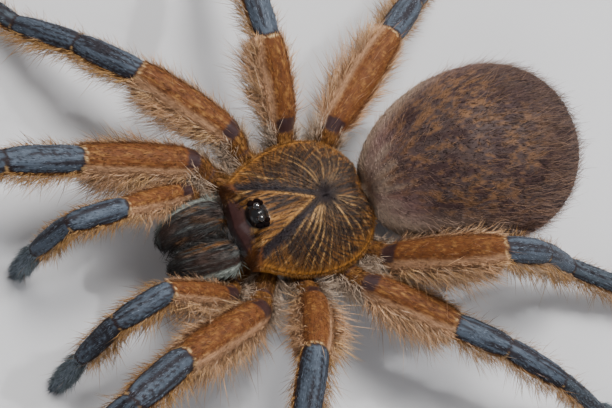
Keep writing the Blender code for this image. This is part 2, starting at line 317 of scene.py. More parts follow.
@dataclass
class Stretch:
    """A straight stretch of flesh between two joints."""

    owner: int
    side: int
    kind: Kind
    start: Array
    end: Array
    table: Array
    travelled: float = 0.0
    CAP = 0.75
    NECK_DEPTH = 0.07
    NECK_RUN = 0.42

    def __post_init__(self) -> None:
        """Works out the stretch's own directions."""
        self.length = float(np.linalg.norm(self.end - self.start))
        self.way = (self.end - self.start) / self.length
        self.across = unit(np.cross(self.way, UP))
        self.upward = np.cross(self.across, self.way)
        self.near_plane = self.way
        self.far_plane = self.way

    def halves(self, share: Array) -> tuple[Array, Array]:
        """Returns the half widths and half heights at shares of the length."""
        wide = np.interp(share, self.table[:, 0], self.table[:, 1])
        high = np.interp(share, self.table[:, 0], self.table[:, 2])
        return wide, high

    def capsule(self, inset: float, sides: int = 28) -> Net:
        """The stretch as a closed tube with round ends and a slight neck at each joint.

        Args:
            inset: How far it lies inside its full girth.
            sides: Points round it.

        Returns:
            The closed tube.
        """
        cap = self.CAP * float(np.mean(self.table[[0, -1], 1:])) / self.length
        bulge = np.linspace(0.12, 1.45, 5)
        shares = np.concatenate((-cap * np.cos(bulge), np.linspace(0, 1, 14), 1 + cap * np.sin(bulge)))
        wide, high = self.halves(shares)
        edge = np.minimum(shares, 1 - shares) * self.length
        neck = 1 - self.NECK_DEPTH * np.exp(-((np.maximum(edge, 0.0) / self.NECK_RUN) ** 2))
        beyond = np.maximum(0.0, np.maximum(-shares, shares - 1)) / cap
        neck *= np.sqrt(np.maximum(0.0, 1 - np.minimum(beyond, 1.0) ** 2))
        turn = circle(sides)
        spoke = (
            self.across * ((wide - inset) * neck)[:, None, None] * np.cos(turn)[None, :, None]
            + self.upward * ((high - inset) * neck)[:, None, None] * np.sin(turn)[None, :, None]
        )
        centres = self.start + self.way * (shares * self.length)[:, None]
        return loft(centres[:, None] + spoke)


def hinged(chain: list[Stretch]) -> list[Stretch]:
    """Returns stretches that follow each other, with the plane of each joint halfway between its two."""
    for near, far in zip(chain, chain[1:]):
        near.far_plane = far.near_plane = unit(near.way + far.way)
    return chain


@dataclass
class Reading:
    """What lies under each of many points: whose flesh, which stretch, and where on it."""

    owner: Array
    kind: Array
    share: Array
    reach: Array
    left: Array
    travel: Array
    turn: Array
    way: Array
    points: Array

    def pick(self, chosen: Array) -> "Reading":
        """Returns the reading of the chosen points only."""
        return Reading(**{name: values[chosen] for name, values in vars(self).items()})


@dataclass
class Girths:
    """Cross-sections along each kind of stretch, as rows of share, half width and half height."""

    coxa: tuple = ((0.0, 1.15, 1.5), (0.5, 1.42, 1.72), (1.0, 1.55, 1.72))
    trochanter: tuple = ((0.0, 1.55, 1.72), (1.0, 1.52, 1.7))
    femur: tuple = (
        (0.0, 1.52, 1.7),
        (0.16, 1.78, 1.98),
        (0.45, 1.95, 2.15),
        (0.8, 1.85, 2.0),
        (1.0, 1.6, 1.75),
    )
    patella: tuple = ((0.0, 1.56, 1.65), (0.3, 1.64, 1.7), (0.72, 1.6, 1.66), (1.0, 1.4, 1.44))
    tibia: tuple = ((0.0, 1.4, 1.44), (0.28, 1.5, 1.52), (0.75, 1.42, 1.44), (1.0, 1.22, 1.24))
    metatarsus: tuple = ((0.0, 1.22, 1.24), (0.4, 1.24, 1.24), (0.8, 1.18, 1.18), (1.0, 1.1, 1.1))
    tarsus: tuple = ((0.0, 1.1, 1.1), (0.45, 1.28, 1.08), (0.82, 1.18, 0.95), (1.0, 0.74, 0.62))

    def rows(self, kind: Kind, girth: float) -> Array:
        """Returns one kind's cross-sections, scaled by a girth."""
        return np.array(getattr(self, kind.name.lower())) * (1.0, girth, girth)


@dataclass
class Limb:
    """A leg or palp, as its root, its hip, its directions in degrees and its segment lengths."""

    name: str
    side: Side
    root: tuple
    hip: tuple
    ways: tuple
    foot_turn: float
    lengths: tuple
    girth: float
    thigh: float
    bend_share: float = 0.72
    bend_rise: float = 0.3
    steepest_sine: float = 0.97
    heel_height: float = 2.1
    tip_height: float = 0.6
    palp_tip_height: float = 0.1

    @property
    def is_palp(self) -> bool:
        """Whether the limb has no metatarsus."""
        return len(self.lengths) == 4

    @property
    def shaggy_front(self) -> bool:
        """Whether the longer fringe hangs from the limb's front side rather than its rear side."""
        return self.side == Side.RIGHT or self.name in ("leg3", "leg4")

    def direction(self, turn: float, rise: float) -> Array:
        """Returns a unit vector, turned to the rear from straight sideways and raised.

        Args:
            turn: Degrees to the rear.
            rise: Degrees above the level.

        Returns:
            The direction.
        """
        flat = math.cos(math.radians(rise))
        around = math.radians(turn)
        sideways = self.side.value * flat * math.cos(around)
        return np.array([sideways, flat * math.sin(around), math.sin(math.radians(rise))])

    def joints(self) -> list[Array]:
        """Returns the joints from the root to the tip of the foot.

        Returns:
            The joints' places.
        """
        flip = np.array([self.side.value, 1, 1])
        root = np.array(self.root) * flip
        hip = np.array(self.hip) * flip
        bend = root + (hip - root) * self.bend_share
        bend[2] = root[2] + self.bend_rise
        joints = [root, bend, hip]
        for way, length in zip(self.ways, self.lengths):
            joints.append(joints[-1] + self.direction(*way) * length)
        heights = (self.palp_tip_height,) if self.is_palp else (self.heel_height, self.tip_height)
        for length, height in zip(self.lengths[3:], heights):
            rise = -math.degrees(math.asin(min(self.steepest_sine, (joints[-1][2] - height) / length)))
            joints.append(joints[-1] + self.direction(self.foot_turn, rise) * length)
        return [joint + MIDDLE for joint in joints]

    def stretches(self, number: int, girths: Girths) -> list[Stretch]:
        """Returns the limb's stretches, from the coxa to the tarsus.

        Args:
            number: Its number as an owner.
            girths: The cross-sections.

        Returns:
            The stretches.
        """
        kinds = list(Kind)[: Kind.TARSUS + 1]
        if self.is_palp:
            kinds.remove(Kind.METATARSUS)
        joints = self.joints()
        made = []
        travelled = 0.0
        for kind, start, end in zip(kinds, joints, joints[1:]):
            table = girths.rows(kind, self.thigh if kind == Kind.FEMUR else self.girth)
            made.append(Stretch(number, self.side.value, kind, start, end, table, travelled))
            travelled += made[-1].length
        return hinged(made)


def limbs() -> list[Limb]:
    """Returns the two palps and the eight legs, in their stance.

    Returns:
        The limbs, from front to rear.
    """
    pairs = {
        "palp": ((2.3, -5.8, 4.6), (8.7, 5.7, 6.3, 5.8), 0.8, 0.67),
        "leg1": ((3.55, -3.9, 5.6), (12.2, 7.8, 9.3, 8.7, 6.0), 1.0, 1.0),
        "leg2": ((3.95, -1.2, 5.6), (11.3, 7.2, 8.1, 8.3, 5.9), 0.97, 0.97),
        "leg3": ((3.75, 1.65, 5.6), (9.9, 6.0, 7.2, 9.0, 5.7), 0.95, 0.97),
        "leg4": ((2.75, 4.35, 5.6), (12.5, 7.0, 9.6, 11.7, 6.3), 1.0, 1.0),
    }
    stance = {
        ("palp", Side.RIGHT): ((5.65, -10.1, 7.2), ((-95, 26), (-90, 5), (-89, -68)), -103),
        ("palp", Side.LEFT): ((5.9, -9.8, 7.0), ((-102, 32), (-79, -9), (-71, -59)), -65),
        ("leg1", Side.RIGHT): ((8.25, -8.2, 7.4), ((-75, 10), (-80, 16), (-79, -28)), -78),
        ("leg1", Side.LEFT): ((8.5, -7.8, 7.5), ((-76, 23), (-69, 24), (-69, -42)), -70),
        ("leg2", Side.RIGHT): ((9.9, -3.2, 7.6), ((-41, 9), (-35, -20), (-36, -32)), -35),
        ("leg2", Side.LEFT): ((9.1, -2.1, 7.7), ((-40, 45), (-30, -11), (-30, -44)), -31),
        ("leg3", Side.RIGHT): ((9.1, 2.6, 7.2), ((1, 33), (7, -2), (8, -34)), 9),
        ("leg3", Side.LEFT): ((9.5, 4.2, 7.4), ((41, 12), (49, -3), (45, -11)), 54),
        ("leg4", Side.RIGHT): ((7.3, 7.5, 7.4), ((53, 11), (57, -20), (56, -30)), 54),
        ("leg4", Side.LEFT): ((7.7, 7.6, 7.6), ((61, 41), (80, -31), (79, -48)), 58),
    }
    made = []
    for (name, side), (hip, ways, foot_turn) in stance.items():
        root, lengths, girth, thigh = pairs[name]
        made.append(Limb(name, side, root, hip, ways, foot_turn, lengths, girth, thigh))
    return made


def shaggy_ways() -> Array:
    """Returns the sign of each limb's turn on its shaggy side, by the limb's number."""
    return np.array([1 if limb.shaggy_front else -1 for limb in limbs()])


@dataclass
class Jaw:
    """A chelicera: a swollen arc that hangs over its fang."""

    side: Side
    start: tuple = (-8.25, 7.55)
    length: float = 6.0
    rise: tuple = (20.0, -42.0)
    halves: tuple = (2.0, 2.4)
    part: float = 0.12
    shape: tuple = (
        (0.0, 0.93, 0.76),
        (0.12, 0.99, 0.9),
        (0.32, 1.0, 1.0),
        (0.55, 0.97, 0.99),
        (0.75, 0.89, 0.92),
        (0.88, 0.77, 0.8),
        (0.96, 0.6, 0.62),
        (1.0, 0.38, 0.4),
    )
    blunt_end: tuple = ((0.0, 1.0), (0.12, 0.8), (0.2, 0.45))
    rings: int = 25
    columns: int = 32

    def centre(self, share: float) -> Array:
        """Returns the point of the jaw's own line at a share of its length.

        Args:
            share: How far along, from 0 to 1.

        Returns:
            The point.
        """
        y, height = self.start
        steps = 20
        for i in range(steps):
            slope = math.radians(self.rise[0] + (self.rise[1] - self.rise[0]) * share * (i + 0.5) / steps)
            y -= self.length * share / steps * math.cos(slope)
            height += self.length * share / steps * math.sin(slope)
        wide = np.interp(share, [row[0] for row in self.shape], [row[1] for row in self.shape])
        return np.array([self.side.value * (self.part + self.halves[0] * wide), y, height])

    def stretches(self, number: int, pieces: int = 8) -> list[Stretch]:
        """Returns the jaw as short straight stretches that follow its arc.

        Args:
            number: Its number as an owner.
            pieces: How many stretches.

        Returns:
            The stretches.
        """
        shape = np.array(self.shape)
        made = []
        for k in range(pieces):
            shares = np.array([k, k + 1]) / pieces
            wide = np.interp(shares, shape[:, 0], shape[:, 1]) * self.halves[0]
            high = np.interp(shares, shape[:, 0], shape[:, 2]) * self.halves[1]
            table = np.stack(([0.0, 1.0], wide, high), axis=1)
            start, end = (self.centre(share) + MIDDLE for share in shares)
            travelled = k * self.length / pieces
            made.append(Stretch(number, self.side.value, Kind.JAW, start, end, table, travelled))
        return hinged(made)

    def net(self, inset: float) -> Net:
        """Returns the jaw as one closed form, with a blunt end.

        Args:
            inset: How far it lies inside its full girth.

        Returns:
            The closed form.
        """
        stretches = self.stretches(0, self.rings)
        turn = circle(self.columns)
        rings = []
        for stretch in stretches:
            wide, high = stretch.table[0, 1:] - inset
            flat = stretch.start + stretch.across * wide * np.cos(turn)[:, None]
            rings.append(flat + stretch.upward * high * np.sin(turn)[:, None])
        last = stretches[-1]
        wide, high = last.table[1, 1:] - inset
        for reach, girth in self.blunt_end:
            flat = last.end + last.way * reach + last.across * wide * girth * np.cos(turn)[:, None]
            rings.append(flat + last.upward * high * girth * np.sin(turn)[:, None])
        return loft(np.array(rings))


@dataclass
class Abdomen:
    """The egg behind the waist, with two jointed spinnerets under its rear."""

    front: tuple = (0.2, 8.0)
    length: float = 23.4
    halves: tuple = (10.1, 9.6)
    centre_height: float = 10.35
    swing: float = -3.5
    waist: tuple = (5.85, 6.2, 0.95)
    waist_rings: tuple = ((7.4, 0.92), (8.2, 1.1), (9.2, 1.7))
    wide_at: float = 0.57
    waist_lift: float = 1.2
    climb_share: float = 0.35
    rings: int = 44
    columns: int = 64
    tail_height: float = 4.05
    tail_inset: float = 1.0
    finger_length: float = 3.4
    finger_gap: float = 0.95
    finger_splay: float = 0.28
    finger_rise: float = 0.1
    finger_joints: tuple = (0.0, 0.42, 0.74, 1.0)
    finger_girths: tuple = ((0.58, 0.54), (0.5, 0.44), (0.4, 0.28))

    @property
    def along(self) -> Array:
        """The direction from the waist to the rear."""
        turn = math.radians(self.swing)
        return np.array([-math.sin(turn), math.cos(turn), 0.0])

    @property
    def across(self) -> Array:
        """The direction to the egg's own right-hand side, seen from the waist."""
        return np.cross(self.along, UP)

    @property
    def tail(self) -> Array:
        """The place under the rear where the spinnerets stand."""
        return np.array([*self.front, self.tail_height]) + self.along * (self.length - self.tail_inset)

    def girth(self, share: Array) -> Array:
        """Returns the girth at shares of the length, 1 where it is widest."""
        front = 1 - np.abs((self.wide_at - share) / self.wide_at) ** 2.0
        rear = 1 - np.abs((share - self.wide_at) / (1 - self.wide_at + 0.004)) ** 2.3
        return np.sqrt(np.maximum(0.0, np.where(share < self.wide_at, front, rear)))

    def centre(self, share: Array) -> Array:
        """Returns the middle of the egg's cross-section at shares of its length.

        Args:
            share: Shares of the length.

        Returns:
            One point for each share.
        """
        low = self.waist[1] + self.waist_lift
        climb = np.minimum(1.0, np.maximum(share, 0.0) / self.climb_share) ** 0.5
        height = low + (self.centre_height - low) * climb
        front = np.array([*self.front, 0.0]) + MIDDLE
        return front + self.along * (self.length * share)[:, None] + UP * height[:, None]

    def net(self, inset: float) -> Net:
        """Returns the egg with its waist as one closed form.

        Args:
            inset: How far it lies inside its full girth.

        Returns:
            The closed form.
        """
        turn = circle(self.columns)
        shares = 0.02 + 0.975 * (0.5 - 0.5 * np.cos(np.linspace(0, math.pi, self.rings)))
        centres = self.centre(shares)
        girth = self.girth(shares)[:, None, None]
        ring = self.across * (self.halves[0] - inset) * np.cos(turn)[:, None]
        ring = ring + np.array([0, 0, self.halves[1] - inset]) * np.sin(turn)[:, None]
        egg = loft(centres[:, None] + ring[None] * girth)
        y, height, radius = self.waist
        rows = []
        for at, swell in ((y, 1.0), *self.waist_rings):
            middle = np.array([self.front[0], at, height + (at - y) * 0.25]) + MIDDLE
            spokes = self.across * np.cos(turn)[:, None] + UP * np.sin(turn)[:, None]
            rows.append(middle + spokes * radius * swell)
        return egg.joined(loft(np.array(rows)))

    def fingers(self, number: int) -> list[Stretch]:
        """Returns the three joints of each spinneret.

        Args:
            number: Its number as an owner.

        Returns:
            The stretches.
        """
        base = self.tail + MIDDLE
        made = []
        for side in (1, -1):
            way = unit(self.along + self.across * side * self.finger_splay + UP * self.finger_rise)
            start = base + self.across * side * self.finger_gap
            joints = [start + way * self.finger_length * share for share in self.finger_joints]
            for k, (near, far) in enumerate(self.finger_girths):
                table = np.array([[0.0, near, near], [1.0, far, far]])
                made.append(Stretch(number, side, Kind.FINGER, joints[k], joints[k + 1], table))
        return made


class Body:
    """All the flesh of the spider, and one skin around it."""

    VOXEL = 0.28
    LEG_COAT = 0.09
    ABDOMEN_COAT = 0.62
    JAW_COAT = 0.08
    FINGER_COAT = 0.05
    FLOOR_CLEARANCE = 0.03
    TAIL_MOUND = (1.7, 0.7, 0.65)
    CORE_HALVES = (3.25, 5.5)
    CORE_SQUARENESS = 0.77
    CORE_RINGS = ((3.6, 0.7), (3.7, 0.86), (4.1, 0.97), (7.3, 0.97))
    CORE_COLUMNS = 48
    CORE_REACH = (3.3, 5.6)
    CORE_EDGE = 1.06
    CORE_TOP = 8
    LIMB_EDGE = 0.85
    FAR = 1e9

    def __init__(self) -> None:
        """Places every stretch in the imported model's frame."""
        self.limbs = limbs()
        self.abdomen = Abdomen()
        self.jaws = [Jaw(Side.LEFT), Jaw(Side.RIGHT)]
        girths = Girths()
        self.stretches: list[Stretch] = []
        for number, limb in enumerate(self.limbs):
            self.stretches += limb.stretches(number, girths)
        self.jaw_owner = len(self.limbs)
        for number, jaw in enumerate(self.jaws):
            self.stretches += jaw.stretches(self.jaw_owner + number)
        self.abdomen_owner = self.jaw_owner + 2
        self.fingers = self.abdomen.fingers(self.abdomen_owner)
        self.core_owner = self.abdomen_owner + 1

    def core(self) -> Net:
        """Returns the block of flesh between the leg roots, and the plate under it.

        Returns:
            The block.
        """
        angle = circle(self.CORE_COLUMNS)
        x, y = (
            np.sign(wave) * np.abs(wave) ** self.CORE_SQUARENESS * half
            for wave, half in zip((np.cos(angle), np.sin(angle)), self.CORE_HALVES)
        )
        rings = []
        for height, share in self.CORE_RINGS:
            rings.append(np.stack((x * share, y * share, np.full(len(x), height)), axis=1) + MIDDLE)
        return loft(np.array(rings))

    def skin(self) -> Net:
        """Returns the one skin around all the flesh.

        Returns:
            The skin.
        """
        flesh = self.core().joined(self.abdomen.net(self.ABDOMEN_COAT))
        for jaw in self.jaws:
            flesh = flesh.joined(jaw.net(self.JAW_COAT))
        for stretch in self.stretches:
            if stretch.kind != Kind.JAW:
                flesh = flesh.joined(stretch.capsule(self.LEG_COAT))
        for stretch in self.fingers:
            flesh = flesh.joined(stretch.capsule(self.FINGER_COAT, 16))
        flesh = flesh.joined(ellipsoid(self.abdomen.tail + MIDDLE, self.TAIL_MOUND))
        skin = remeshed(flesh, self.VOXEL, 3)
        skin.points[:, 2] = np.maximum(skin.points[:, 2], self.FLOOR_CLEARANCE)
        return skin

    def read(self, points: Array) -> Reading:
        """Says which stretch each point lies on, and where.

        Args:
            points: Rows of coordinates on or near the skin.

        Returns:
            The reading.
        """
        count = len(points)
        best = np.full(count, self.FAR)
        owner, kind = np.zeros((2, count), int)
        reading = Reading(owner, kind, *np.zeros((5, count)), way=np.zeros((count, 3)), points=points)

        def keep(distance: Array, **found: object) -> None:
            """Writes one form's answer where it is nearer than those before.

            Args:
                distance: How far each point is from the form.
                found: The form's answers.
            """
            nearer = distance < best
            best[nearer] = distance[nearer]
            for name, value in found.items():
                spread = np.broadcast_to(value, getattr(reading, name).shape)
                getattr(reading, name)[nearer] = spread[nearer]

        for stretch in self.stretches + self.fingers:
            gap = points - stretch.start
            wide, high = stretch.halves(np.clip(gap @ stretch.way / stretch.length, 0.0, 1.0))
            reach = gap @ stretch.near_plane
            left = (stretch.end - points) @ stretch.far_plane
            sideways = gap @ stretch.across
            upward = gap @ stretch.upward
            beyond = np.maximum(0.0, np.maximum(-reach, -left)) / np.maximum(wide, high)
            keep(
                np.sqrt((sideways / wide) ** 2 + (upward / high) ** 2) + 4 * beyond,
                owner=stretch.owner,
                kind=stretch.kind,
                share=np.clip(reach / np.maximum(reach + left, 0.01), 0.0, 1.0),
                reach=reach,
                left=left,
                travel=stretch.travelled + reach,
                turn=np.degrees(np.arctan2(sideways, upward)) * stretch.side,
                way=stretch.way,
            )
        egg = self.abdomen
        gap = points - (np.array([*egg.front, 0.0]) + MIDDLE)
        reach = gap @ egg.along
        share = np.clip(reach / egg.length, 0.0, 1.0)
        centre = egg.centre(share)
        girth = np.maximum(egg.girth(share), 0.1)
        sideways = (points - centre) @ egg.across
        upward = points[:, 2] - centre[:, 2]
        beyond = (reach - share * egg.length) / 2.0
        flat = (sideways / egg.halves[0] / girth) ** 2 + (upward / egg.halves[1] / girth) ** 2
        keep(
            np.sqrt(flat + beyond**2),
            owner=self.abdomen_owner,
            kind=Kind.ABDOMEN,
            share=share,
            reach=reach,
            left=egg.length - reach,
            travel=np.clip(reach, 0.0, egg.length),
            turn=np.degrees(np.arctan2(sideways, upward)),
            way=egg.along,
        )
        inner = points - MIDDLE
        core = np.sqrt((inner[:, 0] / self.CORE_REACH[0]) ** 2 + (inner[:, 1] / self.CORE_REACH[1]) ** 2)
        within = (core < self.CORE_EDGE) & (inner[:, 2] < self.CORE_TOP) & (best > self.LIMB_EDGE)
        keep(
            np.where(within, 0.0, self.FAR),
            owner=self.core_owner,
            kind=Kind.CORE,
            share=np.clip(inner[:, 1] / 11 + 0.5, 0, 1),
            reach=inner[:, 1],
            left=-inner[:, 1],
            travel=inner[:, 1] + 6.0,
            turn=np.degrees(np.arctan2(inner[:, 0], inner[:, 1])),
            way=np.array([0.0, 1.0, 0.0]),
        )
        return reading


# ---- shield, eyes and fangs


@dataclass
class Shield:
    """The carapace: a domed plate with grooves that run to its pit, and the eye mound in front."""

    length: float = 16.0
    width: float = 14.2
    face_share: float = 0.03
    margin_height: float = 8.1
    face_lift: float = 1.45
    lift_start: float = -1.5
    lift_run: float = 5.2
    rim_depth: float = 0.45
    caput_rise: float = 4.1
    pit_y: float = 2.3
    pit_depth: float = 0.4
    ray_step: float = 8.5
    mound: tuple = (0.0, -5.6, 11.7)
    mound_size: tuple = (1.38, 1.02, 1.05)
    coat: float = 0.1
    voxel: float = 0.11
    rim_points: int = 200
    cover_margin: float = 0.35
    spine: tuple = (-4.9, 4.3)

    def half_width(self, share: Array) -> Array:
        """Returns half the width at shares of the length from the front.

        Args:
            share: Shares of the length.

        Returns:
            The half widths.
        """
        head = 0.608 + 0.2 * share
        rise = np.clip((share - 0.06) / 0.52, 0.0, 1.0)
        body = 0.655 + 0.345 * np.sin(math.pi / 2 * rise) ** 1.25
        mix = np.minimum(1.0, share / 0.2)
        front = head * (1 - mix) + body * mix
        fall = np.sqrt(np.maximum(0.0, 1 - (np.maximum(share - 0.58, 0.0) / 0.452) ** 2.35))
        return self.width / 2 * front * np.where(share < 0.58, 1.0, fall)

    def outline(self, count: int) -> Array:
        """Returns points evenly round the rim, in plan.

        Args:
            count: How many points.

        Returns:
            Rows of x and y.
        """
        front = -self.length / 2
        share = np.linspace(self.face_share, 1.0, 2001)
        bow = 0.6 * np.maximum(0.0, 1 - (share - self.face_share) / 0.03)
        side = np.stack((self.half_width(share), front + self.length * share + bow), axis=1)
        side = np.vstack(([0.0, front + self.length * self.face_share], side, [0.0, SHIELD_REAR]))
        travelled = np.concatenate(([0.0], np.cumsum(np.linalg.norm(np.diff(side, axis=0), axis=1))))
        wanted = np.linspace(0.0, travelled[-1], count // 2 + 1)
        half = np.stack([np.interp(wanted, travelled, side[:, axis]) for axis in range(2)], axis=1)
        other = half[1:-1][::-1] * (-1.0, 1.0)
        return np.vstack((half, other))

    def lift(self, y: Array) -> Array:
        """Returns how much the rim rises towards the face."""
        toward = np.clip((self.lift_start - y) / self.lift_run, 0.0, 1.0)
        return self.face_lift * toward * toward * (3 - 2 * toward)

    def rim_gap(self, x: Array, y: Array) -> Array:
        """Returns how far points in plan lie from the rim.

        Args:
            x: Places across.
            y: Places along.

        Returns:
            The distances.
        """
        outline = self.outline(self.rim_points)
        gap = np.full(len(x), 1e9)
        for point in outline:
            gap = np.minimum(gap, np.hypot(x - point[0], y - point[1]))
        return gap

    def covers(self, x: Array, y: Array) -> Array:
        """Returns which points in plan lie under the shield, well inside its rim."""
        share = y / self.length + 0.5
        inside = np.abs(x) < self.half_width(np.clip(share, 0, 1)) - self.cover_margin
        return inside & (share > self.face_share + 0.02) & (share < 0.965)

    def groove(self, x: Array, y: Array) -> Array:
        """Returns the distance, across, from the groove between head and thorax, inside positive."""
        forward = np.clip((self.pit_y - y) / 9.5, 0.0, 1.2)
        return 4.25 * forward**0.9 - np.abs(x)

    def rays(self, x: Array, y: Array) -> tuple[Array, Array, Array]:
        """The rays that run from the pit to the rim behind the head.

        Args:
            x: Places across, in the shield's own frame.
            y: Places along.

        Returns:
            The distance from the pit, the distance across from the nearest ray, and its strength.
        """
        reach = np.hypot(x, y - self.pit_y)
        angle = np.degrees(np.arctan2(x, y - self.pit_y))
        flat = np.stack((x, y, reach * 0), axis=1)
        wobble = (ripple(flat, 3.0, 5) - 0.5) * 11 + (ripple(flat, 1.2, 6) - 0.5) * 2
        step = (np.abs(angle) + wobble) / self.ray_step
        nearest = np.round(step)
        across = np.radians(np.abs(step - nearest) * self.ray_step) * reach
        chance = ripple(np.stack((nearest * 3.7, np.sign(x) * 5.5, reach * 0.35), axis=1), 1.0, 9)
        strength = (0.12 + 0.88 * smooth(0.35, 0.7, chance)) * smooth(8, 35, np.abs(angle))
        return reach, across, strength

    def height(self, x: Array, y: Array, inward: Array) -> Array:
        """Returns the height above the level rim at points in plan.

        Args:
            x: Places across.
            y: Places along.
            inward: Shares of the way in from the rim.

        Returns:
            The heights.
        """
        along = (y + self.length / 2) / self.length
        dome = np.sin(math.pi / 2 * np.minimum(1.0, inward * 1.15)) ** 0.8
        ridge = 0.93 - 0.10 * along
        head = np.exp(-((x / 3.6) ** 2)) * np.maximum(0.0, 1 - along / 0.62) ** 0.5 * 0.1
        pit = self.pit_depth * np.exp(-((x / 0.8) ** 2 + ((y - self.pit_y) / 0.4) ** 2))
        rim = self.lift(y)
        reach, across, strength = self.rays(x, y)
        behind = smooth(0.3, -0.6, self.groove(x, y))
        ribs = 0.07 * np.exp(-((across / 0.2) ** 2)) * strength * behind
        ribs = ribs * smooth(0.6, 2.0, reach) * smooth(0.05, 0.2, inward)
        valley = 0.2 * np.exp(-((self.groove(x, y) / 0.5) ** 2)) * smooth(0.1, 0.3, inward)
        return rim + (self.caput_rise * (ridge + head) - rim) * dome - pit + ribs - valley

    def plate(self) -> Net:
        """Returns the domed plate as one closed form.

        Returns:
            The plate.
        """
        outline = self.outline(self.rim_points)
        floor = np.full(len(outline), self.margin_height - self.rim_depth)
        rings = [np.column_stack((outline * 0.97, floor)), np.column_stack((outline, floor + 0.1))]
        spine = np.stack((np.zeros(len(outline)), np.clip(outline[:, 1] * 0.8, *self.spine)), axis=1)
        for inward in np.concatenate((np.linspace(0.0, 0.2, 9), np.linspace(0.24, 0.985, 30))):
            flat = outline * (1 - inward) + spine * inward
            height = self.height(flat[:, 0], flat[:, 1], np.full(len(flat), inward))
            sunk = self.coat * min(1.0, inward / 0.04)
            rings.append(np.column_stack((flat, self.margin_height + height - sunk)))
        return loft(np.array(rings))

    def net(self, eyes: "Eyes") -> Net:
        """Returns the plate with the eye mound and a raised lip round every eye.

        Args:
            eyes: The eyes.

        Returns:
            The closed form.
        """
        form = self.plate().joined(ellipsoid(self.mound, np.array(self.mound_size) - 0.03))
        for centre, halves in eyes.all_eyes():
            form = form.joined(eyes.lip(centre, halves))
        form = remeshed(form, self.voxel, 2)
        return Net(form.points + MIDDLE, form.faces)


@dataclass
class Eyes:
    """Eight eyes on the mound: a large round one in front on each side, and three on each flank."""

    front: tuple = ((0.64, -5.74, 12.7), (0.43, 0.43, 0.43))
    flank: tuple = (
        ((1.16, -6.0, 12.27), (0.33, 0.46, 0.33)),
        ((1.24, -5.32, 12.27), (0.31, 0.44, 0.31)),
        ((0.92, -5.1, 12.45), (0.26, 0.33, 0.26)),
    )
    lens_share: float = 0.95
    mound_heart: tuple = (0.0, -5.55, 11.6)
    lip_depth: float = 0.26

    def of_side(self, side: Side) -> list[tuple[Array, Array]]:
        """Returns the centre and half sizes of one side's eyes, the front one first."""
        flip = np.array([side.value, 1, 1])
        return [(np.array(centre) * flip, np.array(halves)) for centre, halves in (self.front, *self.flank)]

    def all_eyes(self) -> list[tuple[Array, Array]]:
        """Returns every eye's centre and half sizes."""
        return self.of_side(Side.LEFT) + self.of_side(Side.RIGHT)

    def lens(self, centre: Array, halves: Array) -> Net:
        """Returns one lens."""
        return ellipsoid(centre + MIDDLE, halves * self.lens_share, 36, 24)

    def lip(self, centre: Array, halves: Array) -> Net:
        """Returns the raised lip that an eye sits in, as a short stub along its outward line."""
        outward = unit(centre - np.array(self.mound_heart))
        middle = centre - outward * self.lip_depth
        return ellipsoid(middle, halves * np.array([1.1, 1.08, 0.98]), 24, 16)


@dataclass
class Fang:
    """A fang, folded back under its jaw: a curved horn with a sharp tip."""

    side: Side
    start: tuple = (1.5, -12.95, 4.8)
    length: float = 5.0
    radius: float = 0.6
    rise: tuple = (-26.0, 20.0)
    steps: int = 24
    columns: int = 20

    def net(self) -> Net:
        """Returns the fang's closed form.

        Returns:
            The fang.
        """
        turn = circle(self.columns)
        y, height = self.start[1:]
        rings = []
        for i in range(self.steps + 1):
            share = i / self.steps
            slope = math.radians(self.rise[0] + (self.rise[1] - self.rise[0]) * share)
            way = np.array([0.0, math.cos(slope), math.sin(slope)])
            upward = np.array([0.0, -math.sin(slope), math.cos(slope)])
            girth = self.radius * (1 - 0.9 * share**1.3) * min(1.0, 0.55 + share * 6)
            centre = np.array([self.side.value * self.start[0], y, height]) + MIDDLE
            ribbed = girth * (1 + 0.03 * np.cos(3 * turn))
            flat = np.array([1.0, 0, 0]) * (ribbed * np.cos(turn))[:, None]
            rings.append(centre + (flat + upward * (ribbed * np.sin(turn))[:, None]))
            y += way[1] * self.length / self.steps
            height += way[2] * self.length / self.steps
        return loft(np.array(rings))


# ---- markings


@dataclass(frozen=True)
class Marks:
    """The look of many points: their colour, their metallic share and how bare they are."""

    pigment: Array
    steel: Array
    bare: Array


class Paint:
    """The colour of many points, laid on in coats."""

    def __init__(self, ground: Colour, count: int) -> None:
        """Starts every point at the ground colour."""
        self.pigment = np.tile(np.array(ground), (count, 1))

    def dye(self, colour: Colour, share: Array) -> None:
        """Moves the points towards a colour by a share each."""
        self.pigment = blend(self.pigment, colour, share)


